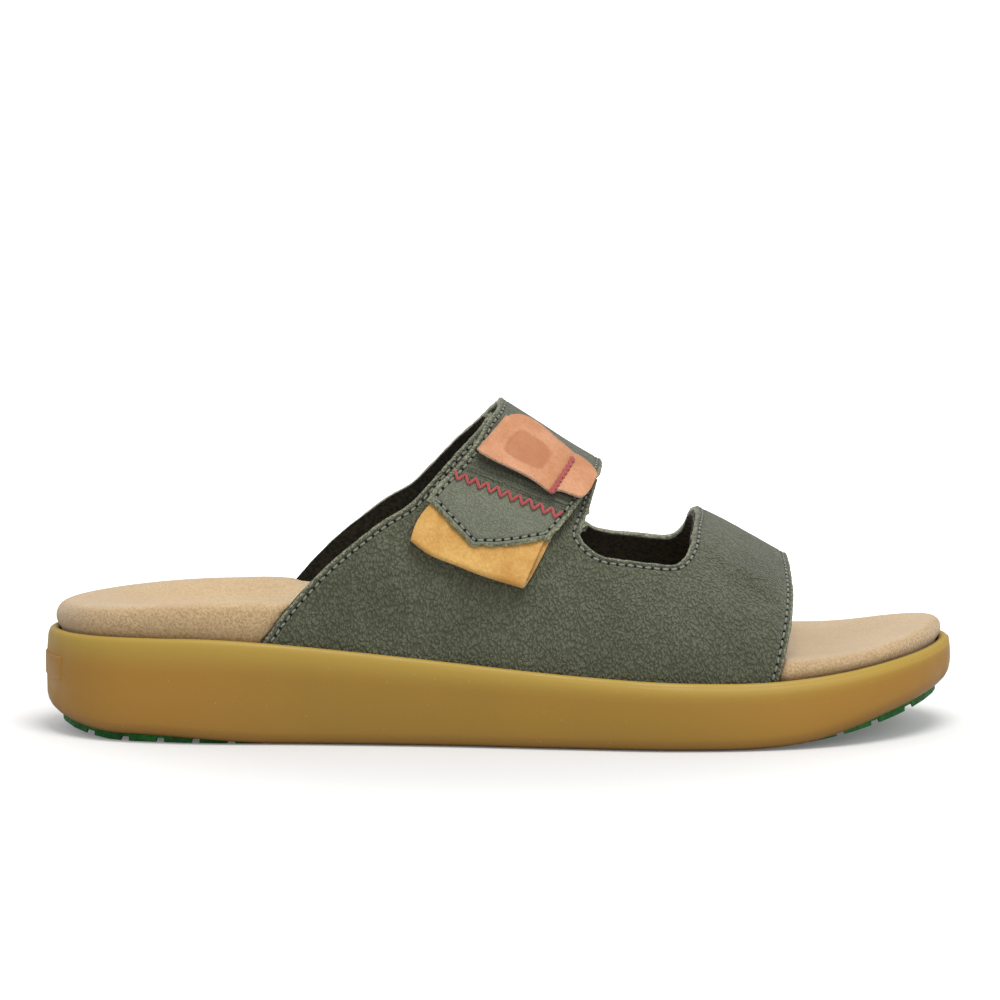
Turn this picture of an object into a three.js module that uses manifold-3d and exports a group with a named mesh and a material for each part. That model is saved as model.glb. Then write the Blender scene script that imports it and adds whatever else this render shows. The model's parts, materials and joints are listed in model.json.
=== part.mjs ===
// Two-band slide sandal for a right foot, in millimetres.
// +X points to the toe, +Y to the inner (medial) side of the foot, +Z up.
// The origin is on the floor, below the middle of the sole.
import * as THREE from 'three';
import { mergeVertices } from 'three/addons/utils/BufferGeometryUtils.js';
import Module from 'manifold-3d';

const wasm = await Module();
wasm.setup();

// ---------------------------------------------------------------- overall sizes
const LENGTH = 283; // sole, heel to toe
const WIDTH = 102; // sole, at the ball of the foot
const INSTEP_HEIGHT = 103.6; // floor to the top of the strap

// ---------------------------------------------------------------- sole
const TREAD_THICKNESS = 2.2;
const GROOVE_DEPTH = 1.3;
const GROOVE_WIDTH = 2.4;
const LUG_LENGTH = 8.6;
const TREAD_INSET = 4.5; // tread edge inside the cup's edge
const CUP_WALL = 4;
const RIM_HEEL = 32.5; // floor to the cup's rim
const RIM_BALL = 20.8;
const RIM_TOE = 29.6;
const BASE_HEEL = 13.5; // thickness of the cup below its hollow
const BASE_BALL = 6;
const HEEL_LIFT = 5; // rise of the sole's rear edge
const TOE_SPRING = 13.3; // rise of the sole's front edge

// ---------------------------------------------------------------- footbed
const BED_HEEL = 43.3; // floor to the footbed's upper edge
const BED_BALL = 27.2;
const BED_TOE = 36;
const COVER_THICKNESS = 1.5;
const COVER_SKIRT = 5; // cover hidden below the cup's rim
const HEEL_DISH = { length: 46, width: 25, height: 10, sink: 6 };

// ---------------------------------------------------------------- upper
const LEATHER = 1.8;
const LINING = 1;
const TUCK = 8; // upper held below the cup's rim
const TUCK_FLOOR_GAP = 1;
const LOOP_TAPE = 0.7;
const HOOK_TAPE = 0.7;
const STRAP_LEATHER = 1.7;
const TIP_LEATHER = 1.5;
const TAB_THICKNESS = 2;
const LABEL_THICKNESS = 2.4;
const THREAD_RADIUS = 0.35;
const SEAM_THREAD_RADIUS = 0.42;
const STITCH_INSET = 2;
const ROW_CLEARANCE = 0.5; // below the edge stitching
const ZIGZAG = { stitches: 20, reach: 1.3 };

const GAP = 0.3; // between pieces that touch
const TONGUE_END_Y = -4; // the tongue stops just short of the instep's crest
const MEDIAL_FINGER_END_Y = 14;
const HINGE_Y = 2; // the strap folds along this line
const FORM_EXPONENT_INSTEP = 2.15;
const FORM_EXPONENT_BALL = 2.3;
const WALL_EXPONENT = 8;
const FORM_DEPTH = 40;
const FORM_SIDES = 32;
const FORM_STEPS = 24;
const CREST_SHIFT = 5; // crest moved to the medial side
const SLOT_EASE = 0.5; // room inside the upper where it passes the footbed
const OUTLINE_POINTS = 72;

// Distances outwards from the upper's outer face.
const LOOP_INNER = GAP;
const HOOK_INNER = LOOP_INNER + LOOP_TAPE + GAP;
const STRAP_INNER = HOOK_INNER + HOOK_TAPE + GAP;
const STRAP_OUTER = STRAP_INNER + STRAP_LEATHER;
const LABEL_INNER = STRAP_OUTER + GAP;
const LINING_OUTER = -LEATHER - GAP;
const LINING_INNER = LINING_OUTER - LINING;

// ---------------------------------------------------------------- places
// Shares of the length from the heel, and of the half width or instep height.
const along = (share) => (share - 0.5) * LENGTH;
const up = (share) => share * INSTEP_HEIGHT;
const sideView = (stations) => stations.map(([f, h]) => new THREE.Vector2(along(f), up(h)));

const OUTLINE = [
  [0, 0], [0.02, -0.33], [0.065, -0.57], [0.15, -0.71], [0.29, -0.745], [0.43, -0.81],
  [0.57, -0.925], [0.69, -1], [0.8, -0.94], [0.89, -0.745], [0.955, -0.44], [0.99, -0.1],
  [0.998, 0.2], [0.985, 0.48], [0.94, 0.76], [0.855, 0.93], [0.745, 1], [0.64, 0.92],
  [0.5, 0.745], [0.36, 0.67], [0.22, 0.69], [0.11, 0.65], [0.045, 0.47], [0.01, 0.24],
];
const REAR_EDGE = [
  [0.238, 0.302], [0.267, 0.406], [0.306, 0.521], [0.344, 0.607], [0.374, 0.667],
  [0.401, 0.709], [0.423, 0.769], [0.45, 0.849], [0.48, 0.93], [0.496, 0.99], [0.505, 1.1],
];
const NOTCH_EDGE = [
  [0.625, 0.9], [0.6135, 0.788], [0.6055, 0.743], [0.597, 0.687], [0.588, 0.631],
  [0.589, 0.612], [0.5985, 0.584], [0.6145, 0.562], [0.6475, 0.55], [0.6865, 0.539],
  [0.699, 0.553], [0.708, 0.589], [0.713, 0.637], [0.724, 0.69], [0.734, 0.8],
];
const FRONT_EDGE = [
  [0.823, 0.6], [0.8255, 0.5], [0.8265, 0.437], [0.8255, 0.385], [0.821, 0.272], [0.812, 0.18],
];
const STRAP_REAR_EDGE = [
  [0.4225, 0.731], [0.4315, 0.768], [0.4535, 0.825], [0.4725, 0.885], [0.487, 0.948],
  [0.501, 1], [0.51, 1.15],
];
const STRAP_FRONT_EDGE = [
  [0.64, 1], [0.6145, 0.804], [0.6045, 0.772], [0.59, 0.725], [0.571, 0.665], [0.553, 0.618],
];
const STRAP_POINT = [0.4715, 0.591];
const SEAM_LINE = [[0.4505, 0.803], [0.567, 0.682]];
const HINGE_BELOW_SEAM = 2.2;
const BASE_SEAM_ABOVE_EDGE = 3;
const PULL_TAB = [
  [0.428, 0.729], [0.405, 0.645], [0.406, 0.616], [0.4525, 0.557], [0.489, 0.521],
  [0.522, 0.4855], [0.529, 0.488], [0.551, 0.601], [0.545, 0.632], [0.4735, 0.6235],
];
const HOOK_PATCH = [
  [0.449, 0.75], [0.4415, 0.734], [0.4755, 0.646], [0.539, 0.651], [0.544, 0.66],
];
const LOOP_PATCH = [
  [0.4455, 0.743], [0.4755, 0.6515], [0.5405, 0.661], [0.585, 0.714], [0.5955, 0.753],
  [0.5705, 0.81], [0.5, 0.888], [0.479, 0.868],
];
const LABEL_LOOP = [
  [0.478, 0.856], [0.509, 0.96], [0.522, 0.954], [0.579, 0.842], [0.5535, 0.742],
  [0.487, 0.835],
];
const LABEL_END = [
  [0.582, 0.838], [0.5985, 0.812], [0.6055, 0.784], [0.59, 0.728], [0.5575, 0.744],
];
const BARTACK_LINE = [[0.5812, 0.838], [0.5553, 0.746]];

// ---------------------------------------------------------------- solids
function solid(geometry) {
  const bare = geometry.index ? geometry.toNonIndexed() : geometry;
  bare.deleteAttribute('normal');
  bare.deleteAttribute('uv');
  const merged = mergeVertices(bare, 1e-4);
  const vertProperties = new Float32Array(merged.attributes.position.array);
  const triVerts = new Uint32Array(merged.index.array);
  return new wasm.Manifold(new wasm.Mesh({ numProp: 3, vertProperties, triVerts }));
}

function addMesh(group, name, body, color, roughness) {
  const { vertProperties, triVerts } = body.getMesh();
  const geometry = new THREE.BufferGeometry();
  geometry.setAttribute('position', new THREE.BufferAttribute(vertProperties, 3));
  geometry.setIndex(new THREE.BufferAttribute(triVerts, 1));
  const material = new THREE.MeshStandardMaterial({ color, roughness, metalness: 0 });
  const mesh = new THREE.Mesh(geometry, material);
  mesh.name = name;
  group.add(mesh);
}

// A closed outline in plan, raised between two heights.
function planSlab(points, low, high) {
  const settings = { depth: high - low, bevelEnabled: false };
  const geometry = new THREE.ExtrudeGeometry(new THREE.Shape(points), settings);
  geometry.translate(0, 0, low);
  return solid(geometry);
}

// A closed outline in side view (x, z), swept from yLow to yHigh.
function sideSlab(points, yLow = -WIDTH, yHigh = WIDTH) {
  const settings = { depth: yHigh - yLow, bevelEnabled: false };
  const geometry = new THREE.ExtrudeGeometry(new THREE.Shape(points), settings);
  geometry.rotateX(Math.PI / 2);
  geometry.translate(0, yHigh, 0);
  return solid(geometry);
}

// ---------------------------------------------------------------- sole curves
function interpolate(samples, x) {
  let i = 1;
  while (i < samples.length - 1 && samples[i].x < x) i += 1;
  const [a, b] = [samples[i - 1], samples[i]];
  return THREE.MathUtils.lerp(a.y, b.y, (x - a.x) / (b.x - a.x));
}

// A smooth height over the length, from [share of length, height] stations.
function heightCurve(stations) {
  const points = stations.map(([f, z]) => new THREE.Vector2(along(f), z));
  const samples = new THREE.SplineCurve(points).getPoints(100);
  return (x) => interpolate(samples, x);
}

const rim = heightCurve([
  [-0.01, RIM_HEEL - 0.7], [0.12, RIM_HEEL], [0.24, RIM_HEEL - 1], [0.57, RIM_BALL + 2.2],
  [0.74, RIM_BALL], [0.85, RIM_BALL + 1.3], [0.965, RIM_TOE - 2.9], [1.01, RIM_TOE],
]);
const bedTop = heightCurve([
  [-0.01, BED_HEEL - 4], [0.09, BED_HEEL - 1.7], [0.2, BED_HEEL], [0.3, BED_HEEL - 1],
  [0.56, BED_BALL + 5], [0.74, BED_BALL + 0.6], [0.88, BED_BALL + 0.8], [1.01, BED_TOE],
]);
// The crest of the upper's leather: a straight slope under the strap, then the toe band.
const strapRise = STRAP_OUTER / Math.cos(Math.atan((up(1) - up(0.802)) / (along(0.615) - along(0.5))));
const crest = heightCurve([
  [0.2, up(1.52) - strapRise], [0.5, up(1) - strapRise], [0.615, up(0.802) - strapRise],
  [0.722, up(0.6525)], [0.825, up(0.5)], [0.9, up(0.38)],
]);

// The face that meets the floor: flat, with a raised heel edge and a sprung toe.
function soleBottom(x) {
  const [heelStart, toeStart] = [along(0.093), along(0.747)];
  const heelShare = (heelStart - x) / (heelStart - along(0));
  const toeShare = (x - toeStart) / (along(1) - toeStart);
  return HEEL_LIFT * Math.max(heelShare, 0) ** 2 + TOE_SPRING * Math.max(toeShare, 0) ** 2;
}

const cupBottom = (x) => soleBottom(x) + TREAD_THICKNESS + GAP;
const cupBase = heightCurve([[-0.01, BASE_HEEL], [0.25, BASE_HEEL], [0.6, BASE_BALL], [1.01, BASE_BALL]]);
const cupFloor = (x) => cupBottom(x) + cupBase(x);

// Side-view outline between two height functions of x.
function between(low, high, from = along(-0.02), to = along(1.02), steps = 44) {
  const xs = Array.from({ length: steps + 1 }, (_, i) => THREE.MathUtils.lerp(from, to, i / steps));
  const lower = xs.map((x) => new THREE.Vector2(x, low(x)));
  const upper = xs.map((x) => new THREE.Vector2(x, high(x)));
  return [...lower, ...upper.reverse()];
}

// The sole's plan outline, moved inwards by inset.
function outline(inset) {
  const points = OUTLINE.map(([f, w]) => new THREE.Vector3(along(f), (w * WIDTH) / 2, 0));
  const curve = new THREE.CatmullRomCurve3(points, true, 'centripetal');
  const ring = curve.getSpacedPoints(OUTLINE_POINTS).slice(0, -1);
  const box = new THREE.Box3().setFromPoints(ring);
  const size = box.getSize(new THREE.Vector3());
  const middle = box.getCenter(new THREE.Vector3());
  for (const p of ring) {
    p.x = ((p.x - middle.x) * LENGTH) / size.x;
    p.y = ((p.y - middle.y) * WIDTH) / size.y;
  }
  return ring.map((p, i) => {
    const before = ring.at(i - 1);
    const after = ring[(i + 1) % ring.length];
    const inward = new THREE.Vector2(before.y - after.y, after.x - before.x).normalize();
    return new THREE.Vector2(p.x, p.y).addScaledVector(inward, inset);
  });
}

// ---------------------------------------------------------------- foot form
// The upper's outer face: upright in the cup, arched over the foot.
const walls = outline(CUP_WALL + GAP);
const lateralWall = walls.filter((p) => p.y < 0).sort((a, b) => a.x - b.x);
const medialWall = walls.filter((p) => p.y > 0).sort((a, b) => a.x - b.x);
const roundPower = (v, n) => Math.sign(v) * Math.abs(v) ** (2 / n);

// angle 0 is the medial wall, a quarter turn the crest and a half turn the lateral wall.
function formPoint(x, angle) {
  const lateral = interpolate(lateralWall, x);
  const medial = interpolate(medialWall, x);
  const [middle, half] = [(lateral + medial) / 2, (medial - lateral) / 2];
  const base = rim(x);
  const share = THREE.MathUtils.clamp((x - along(0.5)) / (along(0.75) - along(0.5)), 0, 1);
  const arch = THREE.MathUtils.lerp(FORM_EXPONENT_INSTEP, FORM_EXPONENT_BALL, share);
  const [c, s] = [Math.cos(angle), Math.sin(angle)];
  const isArch = s > -1e-6;
  const n = isArch ? arch : WALL_EXPONENT;
  const reach = isArch ? crest(x) - base : FORM_DEPTH;
  const y = middle + half * roundPower(c, n) + (isArch ? CREST_SHIFT * s * s : 0);
  return new THREE.Vector3(x, y, base + reach * roundPower(s, n));
}

function formNormal(x, angle) {
  const [dx, da] = [0.5, 0.01];
  const alongX = formPoint(x + dx, angle).sub(formPoint(x - dx, angle));
  const around = formPoint(x, angle + da).sub(formPoint(x, angle - da));
  return around.cross(alongX).normalize();
}

const raised = (x, angle, distance) =>
  formPoint(x, angle).addScaledVector(formNormal(x, angle), distance);

// The form grown by a distance, which may change with the angle.
function form(distance) {
  const geometry = new THREE.CylinderGeometry(1, 1, 1, FORM_SIDES, FORM_STEPS);
  const position = geometry.attributes.position;
  for (let i = 0; i < position.count; i += 1) {
    const v = new THREE.Vector3().fromBufferAttribute(position, i);
    const x = THREE.MathUtils.lerp(along(0.2), along(0.87), v.y + 0.5);
    const angle = Math.atan2(v.x, v.z);
    const grown = raised(x, angle, distance(angle));
    if (Math.hypot(v.x, v.z) < 0.5) grown.set(x, 0, rim(x));
    position.setXYZ(i, grown.x, grown.y, grown.z);
  }
  return solid(geometry);
}

const grow = (distance) => form(() => distance);
const shell = (inner, outer) => grow(outer).subtract(grow(inner));

// The point raised above the form's face that is seen at (x, z) from one side.
function onForm(x, z, side, distance) {
  const turned = (angle) => (side < 0 ? Math.PI - angle : angle);
  let station = x;
  let point;
  for (let pass = 0; pass < 4; pass += 1) {
    let [low, high] = [0, Math.PI / 2];
    while (high - low > 1e-4) {
      const middle = (low + high) / 2;
      if (raised(station, turned(middle), distance).z < z) low = middle;
      else high = middle;
    }
    point = raised(station, turned(low), distance);
    station += x - point.x;
  }
  return point;
}

// ---------------------------------------------------------------- side-view outlines
const smooth = (points, count) => new THREE.SplineCurve(points).getPoints(count);
const rearEdge = smooth(sideView(REAR_EDGE), 24);
const notchEdge = smooth(sideView(NOTCH_EDGE), 34);
const frontEdge = smooth(sideView(FRONT_EDGE), 10);
const strapRearEdge = smooth(sideView(STRAP_REAR_EDGE), 14);
const strapFrontEdge = smooth(sideView(STRAP_FRONT_EDGE), 12);

function upperOutline(tuck) {
  const rear = rearEdge[0].x;
  const front = frontEdge.at(-1).x;
  const low = (x) => Math.max(rim(x) - tuck, cupFloor(x) + TUCK_FLOOR_GAP);
  const hem = between(low, low, rear, front, 24).slice(0, 25).reverse();
  const sky = up(1.6);
  const top = [new THREE.Vector2(rearEdge.at(-1).x, sky), new THREE.Vector2(notchEdge[0].x, sky)];
  const bandTop = [new THREE.Vector2(notchEdge.at(-1).x, sky), new THREE.Vector2(frontEdge[0].x, sky)];
  return [...rearEdge, ...top, ...notchEdge, ...bandTop, ...frontEdge, ...hem];
}

// The strap with its pointed end, closed far above the crest.
function strapOutline(end) {
  return [...strapRearEdge, ...strapFrontEdge, ...end];
}

const [seamRear, seamFront] = sideView(SEAM_LINE);
const seamDirection = seamFront.clone().sub(seamRear).normalize();
const seamDown = new THREE.Vector2(seamDirection.y, -seamDirection.x);

// Everything above (side 1) or below (side -1) the strap's lower fold line.
function foldHalf(side) {
  const start = seamRear.clone().addScaledVector(seamDown, HINGE_BELOW_SEAM - (side * GAP) / 2);
  const near = start.clone().addScaledVector(seamDirection, -LENGTH);
  const far = start.clone().addScaledVector(seamDirection, LENGTH);
  const away = seamDown.clone().multiplyScalar(-side * LENGTH);
  const corners = [near, far, far.clone().add(away), near.clone().add(away)];
  return sideSlab(corners, -WIDTH, HINGE_Y);
}

// ---------------------------------------------------------------- threads
function threadSection(radius) {
  const corners = Array.from({ length: 4 }, (_, i) => {
    const turn = (i * Math.PI) / 2;
    return new THREE.Vector2(radius * Math.cos(turn), radius * Math.sin(turn));
  });
  return new THREE.Shape(corners);
}

function threadAlong(points, steps) {
  const path = new THREE.CatmullRomCurve3(points, false, 'centripetal');
  const settings = { steps, extrudePath: path, bevelEnabled: false };
  return solid(new THREE.ExtrudeGeometry(threadSection(THREAD_RADIUS), settings));
}

// Straight stitches joined end to end, for seams with sharp turns.
function threadChain(points, radius) {
  const lift = new THREE.Vector3(0, 1, 0);
  const stitches = points.slice(1).map((end, i) => {
    const run = end.clone().sub(points[i]);
    const stitch = new THREE.CylinderGeometry(radius, radius, run.length() + radius, 4);
    stitch.applyQuaternion(new THREE.Quaternion().setFromUnitVectors(lift, run.clone().normalize()));
    stitch.translate(...points[i].clone().addScaledVector(run, 0.5).toArray());
    return solid(stitch);
  });
  return stitches.reduce((whole, stitch) => whole.add(stitch));
}

// Points a little inside an edge, laid on the form.
function besideEdge(edge, inwardSide, side, distance) {
  return edge.map((p, i) => {
    const before = edge[Math.max(i - 1, 0)];
    const after = edge[Math.min(i + 1, edge.length - 1)];
    const inward = new THREE.Vector2(after.y - before.y, before.x - after.x).normalize();
    const at = p.clone().addScaledVector(inward, inwardSide * STITCH_INSET);
    return onForm(at.x, at.y, side, distance);
  });
}

// ---------------------------------------------------------------- sub-parts
function outsoleTread() {
  const top = (x) => soleBottom(x) + TREAD_THICKNESS;
  const comb = [];
  let x = along(-0.02);
  while (x < along(1.02)) {
    const lug = [x, x + LUG_LENGTH / 2, x + LUG_LENGTH];
    const groove = [x + LUG_LENGTH, x + LUG_LENGTH + GROOVE_WIDTH];
    comb.push(...lug.map((at) => new THREE.Vector2(at, soleBottom(at))));
    comb.push(...groove.map((at) => new THREE.Vector2(at, soleBottom(at) + GROOVE_DEPTH)));
    x += LUG_LENGTH + GROOVE_WIDTH;
  }
  const start = along(-0.02);
  const upper = between(top, top, start, comb.at(-1).x, 50).slice(0, 51).reverse();
  const profile = sideSlab([...comb, ...upper]);
  return planSlab(outline(TREAD_INSET), -1, RIM_HEEL).intersect(profile);
}

function cupMidsole() {
  const block = planSlab(outline(0), 0, BED_HEEL).intersect(sideSlab(between(cupBottom, rim)));
  const hollow = planSlab(outline(CUP_WALL), 0, BED_HEEL + 1);
  return block.subtract(hollow.intersect(sideSlab(between(cupFloor, () => BED_HEEL + 1))));
}

function heelDish(grown) {
  const dish = new THREE.SphereGeometry(1, 18, 10);
  const { length, width, height, sink } = HEEL_DISH;
  dish.scale(length + grown, width + grown, height + grown);
  dish.translate(along(0.19), 0, BED_HEEL + height - sink);
  return solid(dish);
}

// How far the lining's inner face stands inside the cup's wall at the footbed's top.
function liningReach() {
  const shares = Array.from({ length: 12 }, (_, i) => 0.24 + i * 0.053);
  const reaches = shares.map(along).flatMap((x) => [
    interpolate(medialWall, x) - onForm(x, bedTop(x), 1, LINING_INNER).y,
    onForm(x, bedTop(x), -1, LINING_INNER).y - interpolate(lateralWall, x),
  ]);
  return Math.max(...reaches);
}

// The slot that the upper takes out of the footbed's sides.
function upperSlot() {
  const room = sideSlab(upperOutline(TUCK + GAP));
  const widened = room.add(room.translate([-GAP, 0, 0])).add(room.translate([GAP, 0, 0]));
  const depth = CUP_WALL + GAP + liningReach() + SLOT_EASE;
  return widened.subtract(planSlab(outline(depth), -1, up(2)));
}

function footbedCover(slot) {
  const edge = CUP_WALL + GAP;
  const skirt = (x) => rim(x) - COVER_SKIRT;
  const under = (x) => bedTop(x) - COVER_THICKNESS;
  const outer = planSlab(outline(edge), 0, 60).intersect(sideSlab(between(skirt, bedTop)));
  const inner = planSlab(outline(edge + COVER_THICKNESS), 0, 60)
    .intersect(sideSlab(between(() => 0, under)))
    .subtract(heelDish(COVER_THICKNESS));
  return outer.subtract(inner).subtract(heelDish(0)).subtract(slot);
}

function footbedCore(slot) {
  const edge = CUP_WALL + GAP + COVER_THICKNESS + GAP;
  const low = (x) => cupFloor(x) + GAP;
  const high = (x) => bedTop(x) - COVER_THICKNESS - GAP;
  return planSlab(outline(edge), 0, 60)
    .intersect(sideSlab(between(low, high)))
    .subtract(heelDish(COVER_THICKNESS + GAP))
    .subtract(slot);
}

// The room over the instep where the upper's two sides don't meet.
function instepOpening() {
  const from = along(0.4);
  const to = along(0.7);
  const corners = [[from, up(0.7)], [to, up(0.7)], [to, up(1.7)], [from, up(1.7)]];
  const points = corners.map(([x, z]) => new THREE.Vector2(x, z));
  return sideSlab(points, TONGUE_END_Y, MEDIAL_FINGER_END_Y);
}

function upperLayer(inner, outer) {
  return shell(inner, outer).intersect(sideSlab(upperOutline(TUCK))).subtract(instepOpening());
}

const tipEnd = sideView([STRAP_POINT]);
const strapSheet = (inner, outer) => {
  const close = (angle) => {
    const share = THREE.MathUtils.smoothstep(angle, Math.PI * 0.25, Math.PI * 0.46);
    return THREE.MathUtils.lerp(GAP - STRAP_INNER, 0, share);
  };
  return form((angle) => outer + close(angle)).subtract(form((angle) => inner + close(angle)));
};

function strapBase() {
  const medial = sideSlab(strapOutline([]), HINGE_Y + GAP / 2, WIDTH);
  return strapSheet(STRAP_INNER, STRAP_OUTER).intersect(medial);
}

function strapFlap() {
  const lateral = sideSlab(strapOutline(tipEnd), -WIDTH, HINGE_Y - GAP / 2);
  return strapSheet(STRAP_INNER, STRAP_OUTER).intersect(lateral).intersect(foldHalf(1));
}

function strapTip() {
  const lateral = sideSlab(strapOutline(tipEnd), -WIDTH, HINGE_Y);
  return strapSheet(STRAP_INNER, STRAP_INNER + TIP_LEATHER).intersect(lateral).intersect(foldHalf(-1));
}

function lateralPatch(stations, inner, outer) {
  return shell(inner, outer).intersect(sideSlab(sideView(stations), -WIDTH, HINGE_Y - GAP));
}

function zigzagThread() {
  const points = Array.from({ length: ZIGZAG.stitches + 1 }, (_, i) => {
    const at = seamRear.clone().lerp(seamFront, i / ZIGZAG.stitches);
    at.addScaledVector(seamDown, (i % 2 ? 1 : -1) * ZIGZAG.reach);
    return onForm(at.x, at.y, -1, STRAP_OUTER + GAP + SEAM_THREAD_RADIUS);
  });
  return threadChain(points, SEAM_THREAD_RADIUS);
}

function bartackThread() {
  const [top, bottom] = sideView(BARTACK_LINE);
  const height = LABEL_INNER + LABEL_THICKNESS + GAP + SEAM_THREAD_RADIUS;
  const points = Array.from({ length: 9 }, (_, i) => {
    const at = top.clone().lerp(bottom, i / 8);
    at.x += i % 2 ? 0.6 : -0.6;
    return onForm(at.x, at.y, -1, height);
  });
  return threadChain(points, SEAM_THREAD_RADIUS);
}

function strapBaseThread() {
  const rear = strapRearEdge[0].clone();
  const front = strapFrontEdge.at(-1).clone();
  const points = Array.from({ length: 9 }, (_, i) => {
    const at = rear.clone().lerp(front, 0.1 + i * 0.1);
    return onForm(at.x, at.y + BASE_SEAM_ABOVE_EDGE, 1, STRAP_LEATHER + 3 * GAP);
  });
  return threadAlong(points, 16);
}

// ---------------------------------------------------------------- edge stitching
const rowHeight = ROW_CLEARANCE + THREAD_RADIUS;
const ROW_BELOW_CREST = 7;
const rearTop = { '-1': up(0.9), 1: strapRearEdge[0].y - STITCH_INSET - 1 };
const notchTop = { '-1': up(0.76), 1: up(0.69) };
const besideBand = (p) => p.y < crest(p.x) - ROW_BELOW_CREST && p.y > rim(p.x) + STITCH_INSET;

function rearEdgeThread(side) {
  const edge = rearEdge.filter((p) => p.y > up(0.34) && p.y < rearTop[side]);
  return threadAlong(besideEdge(edge, 1, side, rowHeight), 20);
}

// A row across the front band's top, between points on the outer and the inner side.
function overBand(x) {
  return [0.64, 0.57, 0.5, 0.43, 0.36].map((share) => raised(x, share * Math.PI, rowHeight));
}

function notchThread() {
  const edge = (side) => notchEdge.filter((p) => p.y < notchTop[side] && besideBand(p));
  const lateral = besideEdge(edge(-1), 1, -1, rowHeight);
  const medial = besideEdge(edge(1), 1, 1, rowHeight).reverse();
  const over = overBand(along(0.718) + STITCH_INSET);
  return threadAlong([...lateral, ...over, ...medial], 72);
}

function frontEdgeThread() {
  const edge = frontEdge.filter((p) => besideBand(p));
  const lateral = besideEdge(edge, 1, -1, rowHeight).reverse();
  const medial = besideEdge(edge, 1, 1, rowHeight);
  const over = overBand(frontEdge[0].x - STITCH_INSET);
  return threadAlong([...lateral, ...over, ...medial], 36);
}

// ---------------------------------------------------------------- assembly
const GUM = '#a8823c';
const GREEN = '#1e7832';
const SUEDE = '#d6ba94';
const FOAM = '#c9a878';
const NUBUCK = '#5f6454';
const DARK = '#2a2618';
const TIP = '#787b66';
const TAN = '#e8b08c';
const YELLOW = '#e8b45c';
const RED = '#d7464b';
const THREAD = '#8c9080';
const TAPE = '#26241c';

const sandal = new THREE.Group();
const slot = upperSlot();
addMesh(sandal, 'outsole_tread', outsoleTread(), GREEN, 0.8);
addMesh(sandal, 'cup_midsole', cupMidsole(), GUM, 0.5);
addMesh(sandal, 'footbed_core', footbedCore(slot), FOAM, 0.95);
addMesh(sandal, 'footbed_cover', footbedCover(slot), SUEDE, 0.95);
addMesh(sandal, 'upper_leather', upperLayer(-LEATHER, 0), NUBUCK, 0.9);
addMesh(sandal, 'upper_lining', upperLayer(LINING_INNER, LINING_OUTER), DARK, 0.9);
addMesh(sandal, 'loop_tape', lateralPatch(LOOP_PATCH, LOOP_INNER, LOOP_INNER + LOOP_TAPE), TAPE, 1);
addMesh(sandal, 'hook_tape', lateralPatch(HOOK_PATCH, HOOK_INNER, HOOK_INNER + HOOK_TAPE), TAPE, 0.8);
addMesh(sandal, 'strap_base', strapBase(), NUBUCK, 0.9);
addMesh(sandal, 'strap_flap', strapFlap(), NUBUCK, 0.9);
addMesh(sandal, 'strap_tip', strapTip(), TIP, 0.85);
addMesh(sandal, 'pull_tab', lateralPatch(PULL_TAB, GAP, GAP + TAB_THICKNESS), YELLOW, 0.85);
const labelOuter = LABEL_INNER + LABEL_THICKNESS;
addMesh(sandal, 'label_loop', lateralPatch(LABEL_LOOP, LABEL_INNER, labelOuter), TAN, 0.7);
addMesh(sandal, 'label_end', lateralPatch(LABEL_END, LABEL_INNER, labelOuter), TAN, 0.7);
addMesh(sandal, 'zigzag_thread', zigzagThread(), RED, 0.6);
addMesh(sandal, 'bartack_thread', bartackThread(), RED, 0.6);
addMesh(sandal, 'strap_base_thread', strapBaseThread(), THREAD, 0.7);
addMesh(sandal, 'rear_edge_thread_lateral', rearEdgeThread(-1), THREAD, 0.7);
addMesh(sandal, 'rear_edge_thread_medial', rearEdgeThread(1), THREAD, 0.7);
addMesh(sandal, 'notch_edge_thread', notchThread(), THREAD, 0.7);
addMesh(sandal, 'front_edge_thread', frontEdgeThread(), THREAD, 0.7);

export default sandal;
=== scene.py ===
# %% [markdown]
# # A two-band slide sandal
# The sandal is a rubber cup with a foam footbed in it, a leather upper with a cut on each side, and a
# strap over the instep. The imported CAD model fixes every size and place. This script keeps them and
# makes the surfaces that the hand and eye know: pebbled leather with raw edges, napped suede, gum
# rubber and sewing thread. Lengths below are in millimetres, and MM turns them into metres.

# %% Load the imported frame
import json
import math

import bmesh
import bpy
import numpy as np
from mathutils import Matrix, Vector, kdtree, noise


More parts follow.
